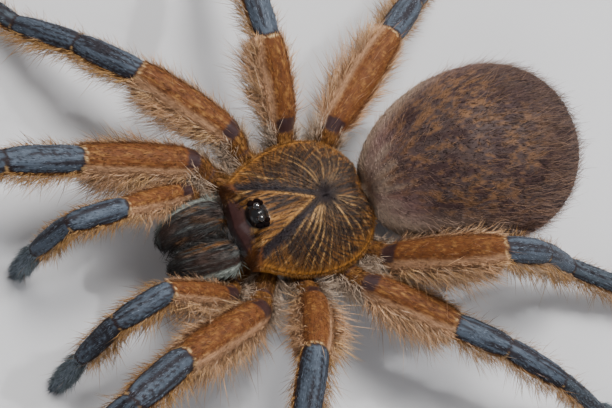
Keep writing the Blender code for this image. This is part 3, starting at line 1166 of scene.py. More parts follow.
@dataclass(frozen=True)
class Markings:
    """The spider's pattern, with some painted light and shade, which its skin and its coat share. Colours are
    linear.
    """

    rust: Colour = (0.12, 0.040, 0.0115)
    gilt: Colour = (0.35, 0.175, 0.05)
    amber: Colour = (0.36, 0.155, 0.03)
    umber: Colour = (0.06, 0.022, 0.010)
    sand: Colour = (0.46, 0.27, 0.155)
    cream: Colour = (0.50, 0.33, 0.16)
    plum: Colour = (0.034, 0.016, 0.016)
    steel_blue: Colour = (0.062, 0.078, 0.103)
    slate: Colour = (0.017, 0.013, 0.016)
    dusk: Colour = (0.042, 0.05, 0.049)
    ochre: Colour = (0.185, 0.076, 0.017)
    straw: Colour = (0.48, 0.30, 0.13)
    soot: Colour = (0.026, 0.021, 0.020)
    sage: Colour = (0.34, 0.38, 0.34)
    strand: Colour = (0.075, 0.082, 0.08)
    frost: Colour = (0.19, 0.225, 0.28)
    bark: Colour = (0.055, 0.036, 0.033)
    wine: Colour = (0.21, 0.12, 0.11)
    ash: Colour = (0.38, 0.29, 0.215)
    claret: Colour = (0.072, 0.032, 0.030)
    black: Colour = (0.004, 0.0035, 0.004)
    loam: Colour = (0.024, 0.0155, 0.0125)

    def streak(self, at: Reading, length: float, width: float, seed: int) -> Array:
        """Returns noise drawn out along the lie of the coat, from 0 to 1."""
        around = np.radians(at.turn) * 1.6
        return ripple(np.stack((at.travel, around, at.owner * 7.3), axis=1), (length, width, 1.0), seed)

    def of_flesh(self, at: Reading) -> Marks:
        """Returns the marks of the legs, jaws, abdomen and body.

        Args:
            at: Where the points lie.

        Returns:
            Their marks.
        """
        count = len(at.share)
        pigment = np.tile(np.array(self.umber), (count, 1))
        steel = np.zeros(count)
        bare = np.zeros(count)
        painters = {
            (Kind.COXA, Kind.TROCHANTER): self.paint_root,
            (Kind.FEMUR,): self.paint_thigh,
            (Kind.PATELLA, Kind.TIBIA, Kind.METATARSUS): self.paint_shank,
            (Kind.TARSUS,): self.paint_foot,
            (Kind.JAW,): self.paint_jaw,
            (Kind.ABDOMEN, Kind.FINGER): self.paint_abdomen,
        }
        for kinds, painter in painters.items():
            chosen = np.isin(at.kind, kinds)
            if chosen.any():
                pigment[chosen], steel[chosen], bare[chosen] = painter(at.pick(chosen))
        return Marks(pigment, steel, bare)

    def paint_root(self, at: Reading) -> Painted:
        """Returns the marks of coxae and trochanters: brown plates between shaggy ash-coloured hair.

        Args:
            at: Where the points lie.

        Returns:
            The points' colour, metallic share and bareness.
        """
        fine = self.streak(at, 1.1, 0.1, 11)
        broad = self.streak(at, 1.6, 0.7, 12)
        side = np.abs(at.turn) + 50 * (broad - 0.5)
        paint = Paint(np.array(self.ochre) * 0.8, len(fine))
        paint.dye(self.umber, smooth(0.35, 0.75, 1 - fine) * 0.75)
        paint.dye(self.gilt, smooth(0.55, 0.9, fine) * 0.6)
        paint.dye(self.ash, smooth(38, 75, side) * (0.35 + 0.6 * fine))
        joint = smooth(0.3, 0.1, np.minimum(at.reach, at.left))
        paint.dye(self.plum, joint * 0.8)
        return paint.pigment, 0.0, 0.0

    def paint_thigh(self, at: Reading) -> Painted:
        """Returns the marks of femora: stippled rust, with a bare dark pad at the base and sandy sides.

        Args:
            at: Where the points lie.

        Returns:
            The points' colour, metallic share and bareness.
        """
        side = np.abs(at.turn)
        shaggy = at.turn * shaggy_ways()[at.owner] > 0
        fine = self.streak(at, 0.5, 0.11, 21)
        broad = self.streak(at, 3.5, 0.5, 22)
        paint = Paint(self.rust, len(side))
        paint.dye(self.umber, smooth(0.5, 0.85, 1 - fine) * (0.5 + 0.3 * (1 - broad)))
        paint.dye(self.gilt, smooth(0.55, 0.9, fine) * (0.25 + 0.5 * broad))
        wavy = side + 18 * (broad - 0.5) + 12 * (fine - 0.5)
        flank = np.where(shaggy, smooth(25, 52, wavy), smooth(56, 86, wavy))
        paint.dye(self.sand, flank * 0.85)
        ring = smooth(0.38, 0.26, at.left) * smooth(0.08, 0.16, at.left)
        paint.dye(self.cream, ring * smooth(0.3, 0.6, fine) * smooth(85, 60, side))
        paint.dye(self.slate, smooth(0.1, 0.02, at.left))
        place = ((at.reach - 0.75) / 0.7) ** 4 + (np.radians(at.turn) * 1.75 / 1.25) ** 4
        pad = smooth(1.2, 0.8, place)
        paint.dye(self.umber, smooth(3.0, 1.2, place) * 0.5)
        paint.dye(self.plum, pad)
        paint.dye(self.plum, smooth(0.16, 0.04, at.reach))
        return paint.pigment, 0.0, pad

    def paint_shank(self, at: Reading) -> Painted:
        """Returns the marks of patellae, tibiae and metatarsi: a steel-blue face with fine dark lines and
        streaks of painted sheen.

        Args:
            at: Where the points lie.

        Returns:
            The points' colour, metallic share and bareness.
        """
        side = np.abs(at.turn)
        wave = 5 * (self.streak(at, 3.0, 1.0, 33) - 0.5)
        swayed = Reading(**{**vars(at), "turn": at.turn + wave})
        fine = self.streak(swayed, 4.6, 0.17, 31)
        hair = self.streak(at, 0.7, 0.09, 32)
        # Painted sheen: long soft streaks that brighten and darken the blue face.
        painted_sheen = self.streak(at, 4.0, 0.6, 34)
        half = np.maximum((at.reach + at.left) / 2, 0.3)
        middle = np.abs(at.reach - at.left) / 2 / (half - 0.2)
        edge = (side / 68) ** 4 + middle**14
        face = smooth(1.15, 0.9, edge)
        paint = Paint(self.ochre, len(side))
        paint.dye(self.umber, smooth(0.4, 0.75, 1 - hair) * 0.5)
        paint.dye(self.straw, smooth(88, 115, side) * 0.7)
        paint.dye(self.slate, smooth(2.0, 1.4, (side / 68) ** 4) * 0.96)
        blue = Paint(self.steel_blue, len(side))
        blue.dye(self.dusk, np.where(at.kind == Kind.METATARSUS, 0.35, 0.0))
        blue.pigment *= ((0.65 + 0.6 * hair) * (0.85 + 0.4 * painted_sheen))[:, None]
        blue.dye(self.slate, smooth(0.5, 0.64, fine) * 0.9)
        paint.pigment = paint.pigment * (1 - face)[:, None] + blue.pigment * face[:, None]
        start = smooth(0.16, 0.11, at.reach) * smooth(0.35, 0.55, hair + 0.2 * smooth(20, 60, side))
        paint.dye(self.straw, start * smooth(30, 55, side) * smooth(100, 85, side) * 0.7)
        return paint.pigment, face * (0.12 + 0.2 * hair), 0.0

    def paint_foot(self, at: Reading) -> Painted:
        """Returns the marks of tarsi: dusky blue-grey, with a painted highlight along the top and painted
        shade along the sides.

        Args:
            at: Where the points lie.

        Returns:
            The points' colour, metallic share and bareness.
        """
        side = np.abs(at.turn)
        hair = self.streak(at, 0.7, 0.1, 41)
        paint = Paint(np.array(self.dusk) * (3.6, 3.7, 4.1), len(side))
        paint.pigment *= (0.5 + 0.9 * hair)[:, None]
        # Painted highlight: pale frost on the hairs along the top of the foot.
        paint.dye(self.frost, smooth(50, 20, side) * smooth(0.4, 0.7, hair) * 0.5)
        # Painted shade: slate along the sides of the foot.
        paint.dye(self.slate, smooth(75, 115, side) * 0.4)
        paint.dye(self.slate, smooth(0.3, 0.15, at.reach))
        return paint.pigment, smooth(60, 30, side) * 0.12, 0.0

    def paint_jaw(self, at: Reading) -> Painted:
        """Returns the marks of the jaws: soot, with gold on top and a sage line along the outside.

        Args:
            at: Where the points lie.

        Returns:
            The points' colour, metallic share and bareness.
        """
        outward = -at.turn
        fine = self.streak(at, 1.8, 0.13, 51)
        other = self.streak(at, 1.2, 0.16, 53)
        broad = self.streak(at, 2.4, 0.8, 52)
        paint = Paint(self.soot, len(fine))
        paint.dye(self.strand, smooth(0.4, 0.8, fine) * 0.9)
        top = smooth(75, 30, np.abs(outward)) * smooth(0.35, 0.65, broad) * smooth(5.4, 2.8, at.travel)
        paint.dye(self.ochre, top * smooth(0.4, 0.75, other) * 0.7)
        paint.dye(self.umber, smooth(0.6, 0.85, 1 - broad) * 0.4)
        line = smooth(44, 54, outward) * smooth(96, 84, outward) * smooth(5.8, 4.2, at.travel)
        paint.dye(self.sage, line * (0.55 + 0.45 * fine))
        return paint.pigment, 0.0, 0.0

    def paint_abdomen(self, at: Reading) -> Painted:
        """Returns the marks of the abdomen: bark brown with rusty mottles, wine-coloured low and in front.

        Args:
            at: Where the points lie.

        Returns:
            The points' colour, metallic share and bareness.
        """
        lie = np.stack((at.travel, np.radians(at.turn) * 9.0, at.travel * 0), axis=1)
        flecks = ripple(lie, (0.44, 0.34, 1.0), 61)
        patches = ripple(lie, (1.5, 1.2, 1.0), 62)
        clouds = ripple(lie, (5.0, 4.0, 1.0), 63)
        side = np.abs(at.turn)
        paint = Paint(self.bark, len(side))
        rear = smooth(0.8, 0.55, at.share)
        rusty = smooth(0.52, 0.74, 0.8 * flecks + 0.2 * patches + 0.3 * (clouds - 0.5))
        mottle = tuple(0.7 * np.array(self.ochre) + 0.3 * np.array(self.sand) * 0.5)
        paint.dye(mottle, rusty * smooth(125, 85, side) * (0.18 + 0.4 * rear))
        paint.dye(self.plum, smooth(0.52, 0.3, 0.45 * flecks + 0.55 * patches) * 0.7)
        front = smooth(0.24, 0.04, at.share + 0.16 * (clouds - 0.5) - 0.0012 * (side - 60))
        paint.dye(self.wine, np.clip(front * 0.8 + smooth(40, 95, side) * 0.5 * rear, 0, 0.85))
        paint.dye(self.plum, (1 - rear) * 0.35)
        collar = smooth(0.1, 0.02, at.share + 0.1 * (patches - 0.5))
        collar = collar + smooth(0.2, 0.08, at.share) * smooth(60, 100, side)
        paint.dye(self.ash, np.clip(collar, 0, 1) * (0.2 + 0.55 * flecks))
        pale = smooth(0.55, 0.25, at.share + 0.2 * (clouds - 0.5))
        pale = pale * smooth(48, 82, side) * smooth(130, 100, side)
        paint.dye(self.ash, pale * (0.5 + 0.4 * flecks))
        finger = at.kind == Kind.FINGER
        paint.pigment[finger] = np.array(self.bark) * 1.5
        return paint.pigment, 0.0, 0.0

    def of_shield(self, shield: Shield, points: Array) -> Marks:
        """Returns the marks of the shield, for points in its own frame.

        Args:
            shield: The shield.
            points: The points.

        Returns:
            Their marks.
        """
        x, y = points.T[:2]
        flat = np.stack((x, y, x * 0), axis=1)
        reach, across, strength = shield.rays(x, y)
        inside = shield.groove(x, y)
        angle = np.arctan2(x, y - shield.pit_y)
        along = np.stack((angle * np.maximum(reach, 1.0), reach, x * 0), axis=1)
        radial = ripple(along, (0.14, 1.6, 1), 71)
        beads = ripple(along, (0.2, 0.5, 1), 74)
        combed = ripple(flat, (0.14, 1.3, 1.0), 72)
        cloud = ripple(flat, 1.5, 73)
        gap = shield.rim_gap(x, y)
        brown = tuple(np.array(self.ochre) * 0.6)
        paint = Paint(self.loam, len(x))
        behind = smooth(0.3, -0.5, inside)
        haze = smooth(0.5, 0.85, radial) * smooth(0.8, 2.2, reach) * (0.3 + 0.7 * cloud)
        paint.dye(self.ochre, behind * haze * 0.75)
        margin = smooth(2.4, 0.5, gap + 1.4 * (cloud - 0.5)) * smooth(0.3, 0.65, 0.5 * radial + 0.5 * beads)
        paint.dye(self.ochre, behind * margin * 0.8)
        ray = np.exp(-((across / (0.05 + 0.06 * beads)) ** 2)) * strength
        ray = ray * smooth(0.8, 2.2, reach) * smooth(0.15, 0.55, beads + 0.2 * smooth(4.5, 2.5, reach))
        # Painted light: the first factor draws rays on the spider's left (+x) side brighter than on its
        # right.
        ray = ray * (0.6 + 0.4 * smooth(-0.5, 0.5, x)) * (0.7 + 0.3 * smooth(4.5, 2.5, y))
        bright = tuple(0.6 * np.array(self.gilt) + 0.62 * np.array(self.straw))
        paint.dye(bright, behind * ray * 0.9)
        head = smooth(0.5, 1.0, inside)
        forward = smooth(0.6, -2.2, y + 1.2 * (cloud - 0.5))
        wedge = smooth(1.0, 0.45, np.abs(x + 0.2)) * smooth(-4.9, -3.9, y)
        # Painted light: the last factor draws the head's gold brighter on the spider's left (+x) side than on
        # its right.
        gold = head * forward * (1 - 0.85 * wedge) * (0.72 + 0.28 * smooth(-1.5, 0.5, x))
        paint.dye(brown, head * smooth(0.35, 0.6, combed) * 0.7)
        paint.dye(self.ochre, gold * smooth(0.25, 0.55, combed) * 0.85)
        paint.dye(self.gilt, gold * smooth(0.5, 0.85, combed) * (0.2 + 0.75 * cloud))
        shine = gold * smooth(0.5, 0.75, cloud) * smooth(0.55, 0.8, combed) * smooth(3.6, 2.6, np.abs(x))
        paint.dye(self.straw, shine * 0.7)
        line = np.exp(-(((inside - 0.8) / 0.13) ** 2)) * smooth(-4.4, -2.4, y) * smooth(2.2, 1.0, y)
        paint.dye(self.gilt, line * smooth(0.1, 0.5, beads))
        band = 0.22 + 0.3 * smooth(2.0, 8.0, reach)
        away = np.abs((inside - 0.1 + 0.3 * (cloud - 0.5)) / band)
        bands = np.exp(-(away**3)) * smooth(0.5, 1.4, reach) * smooth(2.9, 2.3, y)
        paint.dye(self.slate, bands * (0.72 + 0.25 * smooth(0.3, 0.6, combed)))
        paint.dye(self.slate, smooth(1.05, 0.4, reach) * 0.7)
        edge = smooth(-7.0, -6.2, y)
        paint.dye(self.ochre, smooth(0.7, 0.3, gap + 0.4 * (beads - 0.5)) * edge * 0.8)
        paint.dye(self.amber, smooth(0.34, 0.12, gap) * edge * 0.9)
        front = smooth(-6.2, -6.6, y + 0.06 * x * x + 0.4 * (beads - 0.5))
        front = front * smooth(3.2, 2.4, np.abs(x) + 0.8 * (beads - 0.5))
        corner = smooth(-5.9, -6.4, y) * smooth(2.2, 3.0, np.abs(x))
        paint.dye(self.rust, corner * (0.5 + 0.5 * beads))
        paint.dye(self.umber, corner * smooth(0.5, 0.8, 1 - beads) * 0.8)
        paint.dye(self.claret, front)
        mound = smooth(1.12, 0.92, np.hypot(x / 1.42, (y + 5.6) / 1.08))
        paint.dye(self.black, mound)
        return Marks(paint.pigment, np.zeros(len(x)), np.maximum(mound, front))


# ---- coats


@dataclass
class Ground:
    """A skin that tufts are planted on."""

    net: Net

    def __post_init__(self) -> None:
        """Works out the triangles, their areas and middles, and the points' normals."""
        self.triangles = self.net.triangles()
        a, b, c = (self.net.points[self.triangles[:, k]] for k in range(3))
        self.area = np.linalg.norm(np.cross(b - a, c - a), axis=1) / 2
        self.middles = (a + b + c) / 3
        self.normals = self.net.normals()

    def plant(self, weight: Array, density: float, random: np.random.Generator) -> tuple[Array, Array]:
        """Picks root points at random.

        Args:
            weight: For each triangle, the share of the full density that grows there.
            density: Roots in a square millimetre.
            random: Where the chances come from.

        Returns:
            The roots and the skin's normals there.
        """
        mass = self.area * weight
        count = int(mass.sum() * density)
        if count == 0:
            return np.zeros((0, 3)), np.zeros((0, 3))
        spread = np.cumsum(mass)
        picked = np.searchsorted(spread, random.random(count) * spread[-1])
        picked = np.minimum(picked, len(mass) - 1)
        first, second = random.random((2, count))
        root = np.sqrt(first)
        shares = np.stack((1 - root, root * (1 - second), root * second), axis=1)
        corners = self.triangles[picked]
        points = sum(self.net.points[corners[:, k]] * shares[:, k : k + 1] for k in range(3))
        normals = sum(self.normals[corners[:, k]] * shares[:, k : k + 1] for k in range(3))
        return points, unit(normals)


@dataclass
class Tufts:
    """Many tufts, with one row of each array for each tuft. Angles are in degrees."""

    root: Array
    normal: Array
    lay: Array
    length: Array
    width: Array
    rise: Array
    droop: Array
    swerve: Array
    pigment: Array
    steel: Array
    tint: Array
    place: Array

    def dye(self, colour: Colour, share: Array) -> None:
        """Moves the tufts towards a colour by a share each."""
        self.pigment = blend(self.pigment, colour, share)

    def joined(self, other: "Tufts") -> "Tufts":
        """Returns these tufts and others together."""
        pairs = {name: (rows, getattr(other, name)) for name, rows in vars(self).items()}
        return Tufts(**{name: np.concatenate(pair) for name, pair in pairs.items()})


@dataclass
class Thatch:
    """Tufts as thin closed blades, three-sided, from a sunken root to a point."""

    stops: tuple
    girths: tuple
    sunk: float = 0.08
    patch: float = 0.003

    def mesh(self, name: str, tufts: Tufts) -> bpy.types.Mesh:
        """Makes one mesh of all the tufts.

        Args:
            name: The mesh's name.
            tufts: The tufts.

        Returns:
            The mesh, with its colours as attributes and its OFBake map.
        """
        count = len(tufts.root)
        rings = len(self.stops)
        shares = np.array((0.0, *self.stops, 1.0))
        side = unit(np.cross(tufts.lay, tufts.normal))
        centre = tufts.root - tufts.normal * self.sunk
        per_tuft = 3 * rings + 2
        points = np.zeros((count, per_tuft, 3))
        patch = np.zeros((count, per_tuft, 2))
        reach = np.zeros((count, per_tuft))
        points[:, 0] = centre
        patch[:, 0] = (0.5, 0.0)
        for k in range(rings + 1):
            middle = (shares[k] + shares[k + 1]) / 2
            slope = np.radians(tufts.rise - tufts.droop * middle)[:, None]
            turn = np.radians(tufts.swerve * middle)[:, None]
            flat = tufts.lay * np.cos(turn) + side * np.sin(turn)
            way = flat * np.cos(slope) + tufts.normal * np.sin(slope)
            centre = centre + way * (tufts.length * (shares[k + 1] - shares[k]))[:, None]
            if k == rings:
                points[:, -1] = centre
                patch[:, -1] = (0.5, 1.0)
                reach[:, -1] = 1.0
                continue
            across = unit(np.cross(way, tufts.normal))
            over = np.cross(across, way)
            half = (tufts.width * self.girths[k] / 2)[:, None]
            at = 1 + 3 * k
            points[:, at] = centre - across * half
            points[:, at + 1] = centre + over * half
            points[:, at + 2] = centre + across * half
            for corner in range(3):
                patch[:, at + corner] = (corner / 2, shares[k + 1])
                reach[:, at + corner] = shares[k + 1]
        points[:, :, 2] = np.maximum(points[:, :, 2], 0.0)
        corners = []
        for corner in range(3):
            after = (corner + 1) % 3
            corners.append((0, 1 + after, 1 + corner))
            for k in range(rings - 1):
                low = 1 + 3 * k
                high = low + 3
                corners.append((low + corner, low + after, high + after))
                corners.append((low + corner, high + after, high + corner))
            low = 1 + 3 * (rings - 1)
            corners.append((low + corner, low + after, per_tuft - 1))
        start = np.arange(count)[:, None, None] * per_tuft
        faces = (start + np.array(corners)[None]).reshape(-1, 3)
        made = Net(points.reshape(-1, 3), [faces]).mesh(name)
        place = np.clip(tufts.place, 0.0, 1 - self.patch)[:, None] + patch * self.patch
        bake = made.uv_layers.new(name="OFBake")
        bake.data.foreach_set("uv", place.reshape(-1, 2)[faces.ravel()].astype(np.float32).ravel())
        write_vectors(made, "pigment", np.repeat(tufts.pigment, per_tuft, axis=0))
        write_values(made, "steel", np.repeat(tufts.steel, per_tuft))
        write_values(made, "tint", np.repeat(tufts.tint, per_tuft))
        write_values(made, "reach", reach.ravel())
        return made


def write_vectors(mesh: bpy.types.Mesh, name: str, rows: Array) -> None:
    """Stores one vector for each point of a mesh."""
    made = mesh.attributes.new(name, "FLOAT_VECTOR", "POINT")
    made.data.foreach_set("vector", rows.astype(np.float32).ravel())


def write_values(mesh: bpy.types.Mesh, name: str, values: Array) -> None:
    """Stores one number for each point of a mesh."""
    made = mesh.attributes.new(name, "FLOAT", "POINT")
    made.data.foreach_set("value", values.astype(np.float32))


def write_marks(mesh: bpy.types.Mesh, marks: Marks, grain: Array) -> None:
    """Stores the pattern of a skin, and the lie of the coat over it.

    Args:
        mesh: Where they are stored.
        marks: The pattern.
        grain: Places for combed noise.
    """
    write_vectors(mesh, "pigment", marks.pigment)
    write_values(mesh, "steel", marks.steel)
    write_values(mesh, "bare", marks.bare)
    write_vectors(mesh, "grain", grain)


@dataclass(frozen=True)
class Cut:
    """How the hair of one place is cut: sizes in millimetres and angles in degrees."""

    length: float
    width: float
    rise: float
    droop: float
    density: float
    spread: float

    def rows(self, count: int) -> dict[str, Array]:
        """Returns each size and angle once for every hair."""
        return {name: np.full(count, value) for name, value in vars(self).items()}


LEG_STRAYS = Cut(2.3, 0.036, 36, 20, 0.5, 25)
ABDOMEN_NAP = Cut(2.0, 0.036, 24, 16, 6.5, 14)
ABDOMEN_STRAYS = Cut(2.7, 0.034, 34, 18, 1.0, 20)


class Barber:
    """Grows every coat piece on the skin and on the shield."""

    SHANK = (Kind.PATELLA, Kind.TIBIA, Kind.METATARSUS)
    PALPS = (0, 1)
    FIRST_REAR_LEG = 6
    LIMB_RUN = 60.0
    TRUNK_RUN = 30.0
    SHIELD_SPAN = 16.4
    SHIELD_DENSITY = 60.0
    RIM_STEPS = 1400
    RIM_FRONT = -6.6
    UNDER_SHIELD = 5.2
    UNDERSIDE = 125
    UNDERSIDE_SHARE = 0.55
    BLUE_FACE = 62
    FRINGE_DENSITY = 40.0
    FRINGE_LENGTHS = (2.6, 2.4, 3.2, 2.3, 2.3, 2.1, 0.8)

    SHORT = {
        Kind.COXA: Cut(1.2, 0.06, 30, 24, 22, 26),
        Kind.TROCHANTER: Cut(0.9, 0.055, 24, 20, 26, 22),
        Kind.FEMUR: Cut(0.58, 0.054, 13, 8, 46, 11),
        Kind.PATELLA: Cut(0.62, 0.066, 11, 7, 32, 8),
        Kind.TIBIA: Cut(0.62, 0.066, 11, 7, 32, 8),
        Kind.METATARSUS: Cut(0.65, 0.066, 13, 8, 32, 9),
        Kind.TARSUS: Cut(0.72, 0.05, 22, 14, 58, 10),
        Kind.JAW: Cut(1.3, 0.055, 9, 14, 38, 7),
        Kind.ABDOMEN: Cut(0.7, 0.075, 19, 12, 20, 20),
        Kind.FINGER: Cut(0.7, 0.05, 24, 10, 30, 16),
        Kind.CORE: Cut(1.2, 0.06, 30, 20, 16, 24),
    }

    def __init__(self, body: Body, skin: Net, shield: Shield, plate: Net, markings: Markings) -> None:
        """Reads the skin once for all the coats.

        Args:
            body: The flesh.
            skin: The skin around it.
            shield: The shield.
            plate: The shield's closed form.
            markings: The pattern.
        """
        self.body = body
        self.shield = shield
        self.markings = markings
        self.skin = Ground(skin)
        self.plate = Ground(plate)
        self.under = body.read(self.skin.middles)
        x, y, z = (self.skin.middles - MIDDLE).T
        self.clear_skin = ~(shield.covers(x, y) & (z > self.UNDER_SHIELD))

    def sow(
        self,
        owners: list[int],
        kinds: list[Kind],
        weight: Array,
        density: float,
        random: np.random.Generator,
        spare_bare: bool = False,
    ) -> tuple[Reading, Array]:
        """Plants roots on some stretches, clear of the head shield.

        Args:
            owners: Whose flesh they stand on.
            kinds: Which stretches of it.
            weight: For each triangle of the skin, the share of the full density.
            density: Roots in a square millimetre.
            random: Where the chances come from.
            spare_bare: Whether bare places stay bare.

        Returns:
            Where the roots lie, and the skin's normals there.
        """
        chosen = np.isin(self.under.owner, owners) & np.isin(self.under.kind, kinds) & self.clear_skin
        points, normal = self.skin.plant(chosen * weight, density, random)
        at = self.body.read(points)
        kept = np.isin(at.owner, owners) & np.isin(at.kind, kinds)
        if spare_bare:
            kept &= self.markings.of_flesh(at).bare < random.random(len(points))
        return at.pick(kept), normal[kept]

    def place(self, at: Reading, owners: list[int]) -> Array:
        """Unwraps root points: a strip for each owner, round the flesh across and along it upwards.

        Args:
            at: Where the roots lie.
            owners: The owners that share the map.

        Returns:
            Map coordinates from 0 to 1.
        """
        strip = np.searchsorted(np.array(owners), at.owner)
        longest = self.LIMB_RUN if at.owner.max(initial=0) < self.body.jaw_owner else self.TRUNK_RUN
        across = (strip + 0.03 + 0.94 * (at.turn + 180) / 360) / len(owners)
        return np.stack((across, 0.02 + 0.95 * np.clip(at.travel / longest, 0, 1)), axis=1)

    def grow(self, at: Reading, normal: Array, cut: dict[str, Array], owners: list[int], seed: int) -> Tufts:
        """Turns roots into tufts with the markings of the skin under them.

        Args:
            at: Where the roots lie.
            normal: The skin's normals there.
            cut: Arrays of length, width, rise, droop and spread for each root.
            owners: The owners that share the map.
            seed: Which random numbers to take.

        Returns:
            The tufts.
        """
        random = np.random.default_rng(seed)
        count = len(at.share)
        marks = self.markings.of_flesh(at)
        lay = unit(laid_flat(at.way, normal) + 1e-6)
        clump = ripple(at.points, 0.8, seed) - 0.5
        swirl = np.radians(cut["spread"] * (random.normal(0, 0.8, count) + 1.8 * clump))[:, None]
        side = np.cross(normal, lay)
        lay = unit(lay * np.cos(swirl) + side * np.sin(swirl))
        streak = smooth(0.25, 0.75, self.markings.streak(at, 0.6, 0.11, seed))
        return Tufts(
            root=at.points,
            normal=normal,
            lay=lay,
            length=cut["length"] * random.uniform(0.7, 1.25, count),
            width=cut["width"] * random.uniform(0.75, 1.25, count),
            rise=cut["rise"] * random.uniform(0.6, 1.5, count),
            droop=cut["droop"] * random.uniform(0.6, 1.4, count),
            swerve=random.normal(0, 1.0, count) * cut["spread"],
            pigment=marks.pigment,
            steel=marks.steel,
            tint=0.45 * random.random(count) + 0.55 * streak,
            place=self.place(at, owners),
        )

    def short_coat(self, owners: list[int], kinds: list[Kind], seed: int) -> Tufts:
        """Grows the short coat of some owners' stretches.

        Args:
            owners: Whose flesh it grows on.
            kinds: Which stretches of it.
            seed: Which random numbers to take.

        Returns:
            The tufts.
        """
        random = np.random.default_rng(seed)
        table = {one.name: np.zeros(len(Kind)) for one in fields(Cut)}
        for kind, cut in self.SHORT.items():
            for name in table:
                table[name][kind] = getattr(cut, name)
        densest = max(self.SHORT[kind].density for kind in kinds)
        trunk = np.isin(self.under.kind, (Kind.ABDOMEN, Kind.CORE))
        below = ~trunk & (np.abs(self.under.turn) > self.UNDERSIDE)
        weight = table["density"][self.under.kind] / densest * np.where(below, self.UNDERSIDE_SHARE, 1.0)
        at, normal = self.sow(owners, kinds, weight, densest, random, spare_bare=True)
        cut = {name: rows[at.kind] for name, rows in table.items()}
        side = np.abs(at.turn)
        lateral = smooth(35, 80, side) * (at.kind == Kind.FEMUR)
        paw = (0.4 + 0.6 * smooth(30, 80, side)) * (at.kind == Kind.TARSUS)
        inner = smooth(30, 70, at.turn) * (at.kind == Kind.JAW)
        outer = smooth(40, 75, -at.turn) * (at.kind == Kind.JAW)
        tip = smooth(4.2, 6.0, at.travel) * (at.kind == Kind.JAW)
        broad = 1.0 + 0.4 * np.isin(at.owner, self.PALPS)
        cut["length"] = cut["length"] * (1 + 0.9 * lateral + 0.5 * paw * broad - 0.3 * tip * (1 - inner))
        cut["rise"] = cut["rise"] + 12 * lateral + 8 * paw * broad
        cut["rise"] = cut["rise"] + inner * (26 + 18 * tip) + 7 * outer + 14 * tip
        cut["droop"] = cut["droop"] + 12 * paw + 40 * tip * (1 - inner)
        before_joint = np.where(at.kind < Kind.TARSUS, np.maximum(at.left, 0) + 0.14, np.inf)
        after_joint = np.where(np.isin(at.kind, self.SHANK), 0.2 + 1.2 * np.maximum(at.reach, 0), np.inf)
        cut["length"] = np.minimum(np.minimum(cut["length"], before_joint), after_joint)
        made = self.grow(at, normal, cut, owners, seed + 1)
        chance = random.random(len(side))
        thigh = (at.kind == Kind.FEMUR) * smooth(70, 40, side)
        face = made.steel > 0.05
        made.dye(self.markings.gilt, thigh * (chance < 0.18) * 0.55)
        made.dye(self.markings.umber, thigh * (chance > 0.76) * 0.75)
        made.dye(self.markings.frost, face * (chance < 0.36) * 0.8)
        made.dye(self.markings.slate, face * (chance > 0.84) * 0.6)
        return made

    def fringe(self, owners: list[int], seed: int) -> Tufts:
        """Grows the long hair along both sides of the legs and palps, longest on the shaggy side.

        Args:
            owners: Whose flesh it grows on.
            seed: Which random numbers to take.

        Returns:
            The tufts.
        """
        random = np.random.default_rng(seed)
        under = self.under
        shaggy_way = np.concatenate((shaggy_ways(), np.ones(4)))
        side = np.abs(under.turn)
        full = np.where(under.turn * shaggy_way[under.owner] > 0, 1.0, 0.6)
        thigh = (under.kind == Kind.FEMUR) * smooth(46, 80, side) * smooth(175, 145, side)
        thigh = thigh * smooth(0.2, 1.2, under.reach)
        shank = np.isin(under.kind, self.SHANK) * smooth(60, 78, side) * smooth(165, 130, side)
        root = (under.kind <= Kind.TROCHANTER) * smooth(20, 60, side)
        foot = (under.kind == Kind.TARSUS) * smooth(60, 80, side) * 0.35
        palp = np.where(np.isin(under.owner, self.PALPS), 1.5, 1.0)
        weight = thigh * full + shank * 0.75 * full * palp + root + foot
        limb = list(Kind)[: Kind.TARSUS + 1]
        at, normal = self.sow(owners, limb, weight, self.FRINGE_DENSITY, random)
        count = len(at.share)
        shaggy = at.turn * shaggy_way[at.owner] > 0
        palps = np.isin(at.owner, self.PALPS)
        lengths = np.array(self.FRINGE_LENGTHS)[at.kind] * np.where(shaggy, 1.0, 0.68)
        lengths = lengths * np.where(palps & (at.kind > Kind.FEMUR), 1.1, np.where(palps & ~shaggy, 0.5, 1.0))
        lengths = lengths * (0.5 + 0.95 * ripple(at.points, 0.4, seed + 3))
        lengths = lengths * np.where(at.owner == self.PALPS[0], 0.65, 1.0)
        lengths = np.minimum(lengths, np.where(at.kind == Kind.FEMUR, np.maximum(at.left, 0) + 1.2, np.inf))
        taper = 0.75 + 0.35 * np.sin(math.pi * np.clip(at.share, 0, 1))
        strands = {
            "length": lengths * taper * random.uniform(0.45, 1.25, count),
            "width": np.where(at.kind == Kind.FEMUR, 0.068, 0.062),
            "rise": np.where(shaggy, 58.0, 48.0) * random.uniform(0.55, 1.25, count),
            "droop": np.full(count, 28.0),
            "spread": np.full(count, 14.0),
        }
        made = self.grow(at, normal, strands, owners, seed + 1)
        marks = self.markings
        warm = ripple(at.points, 1.1, seed + 2)
        thick = (at.kind == Kind.FEMUR) * 1.0
        made.dye(marks.sand, thick * 0.95)
        made.dye(marks.gilt, thick * 0.3)
        made.dye(marks.straw, thick * smooth(0.45, 0.8, warm) * 0.6)
        made.dye(marks.ash, thick * 0.5 * (random.random(count) < 0.3))
        made.dye(marks.umber, thick * 0.6 * (random.random(count) < 0.2))
        made.dye(marks.ash, (at.kind <= Kind.TROCHANTER) * (0.4 + 0.6 * random.random(count)))
        rear = at.owner >= self.FIRST_REAR_LEG
        gold = np.isin(at.kind, self.SHANK) * np.where(rear, 0.6, 0.95)
        made.dye(marks.gilt, gold * (0.5 + 0.5 * random.random(count)))
        made.dye(marks.straw, gold * 0.6 * random.random(count))
        made.dye(marks.umber, gold * (random.random(count) < np.where(rear, 0.45, 0.2)) * 0.8)
        made.dye(marks.ash, gold * rear * (random.random(count) < 0.4) * 0.7)
        made.steel = made.steel * 0
        return made

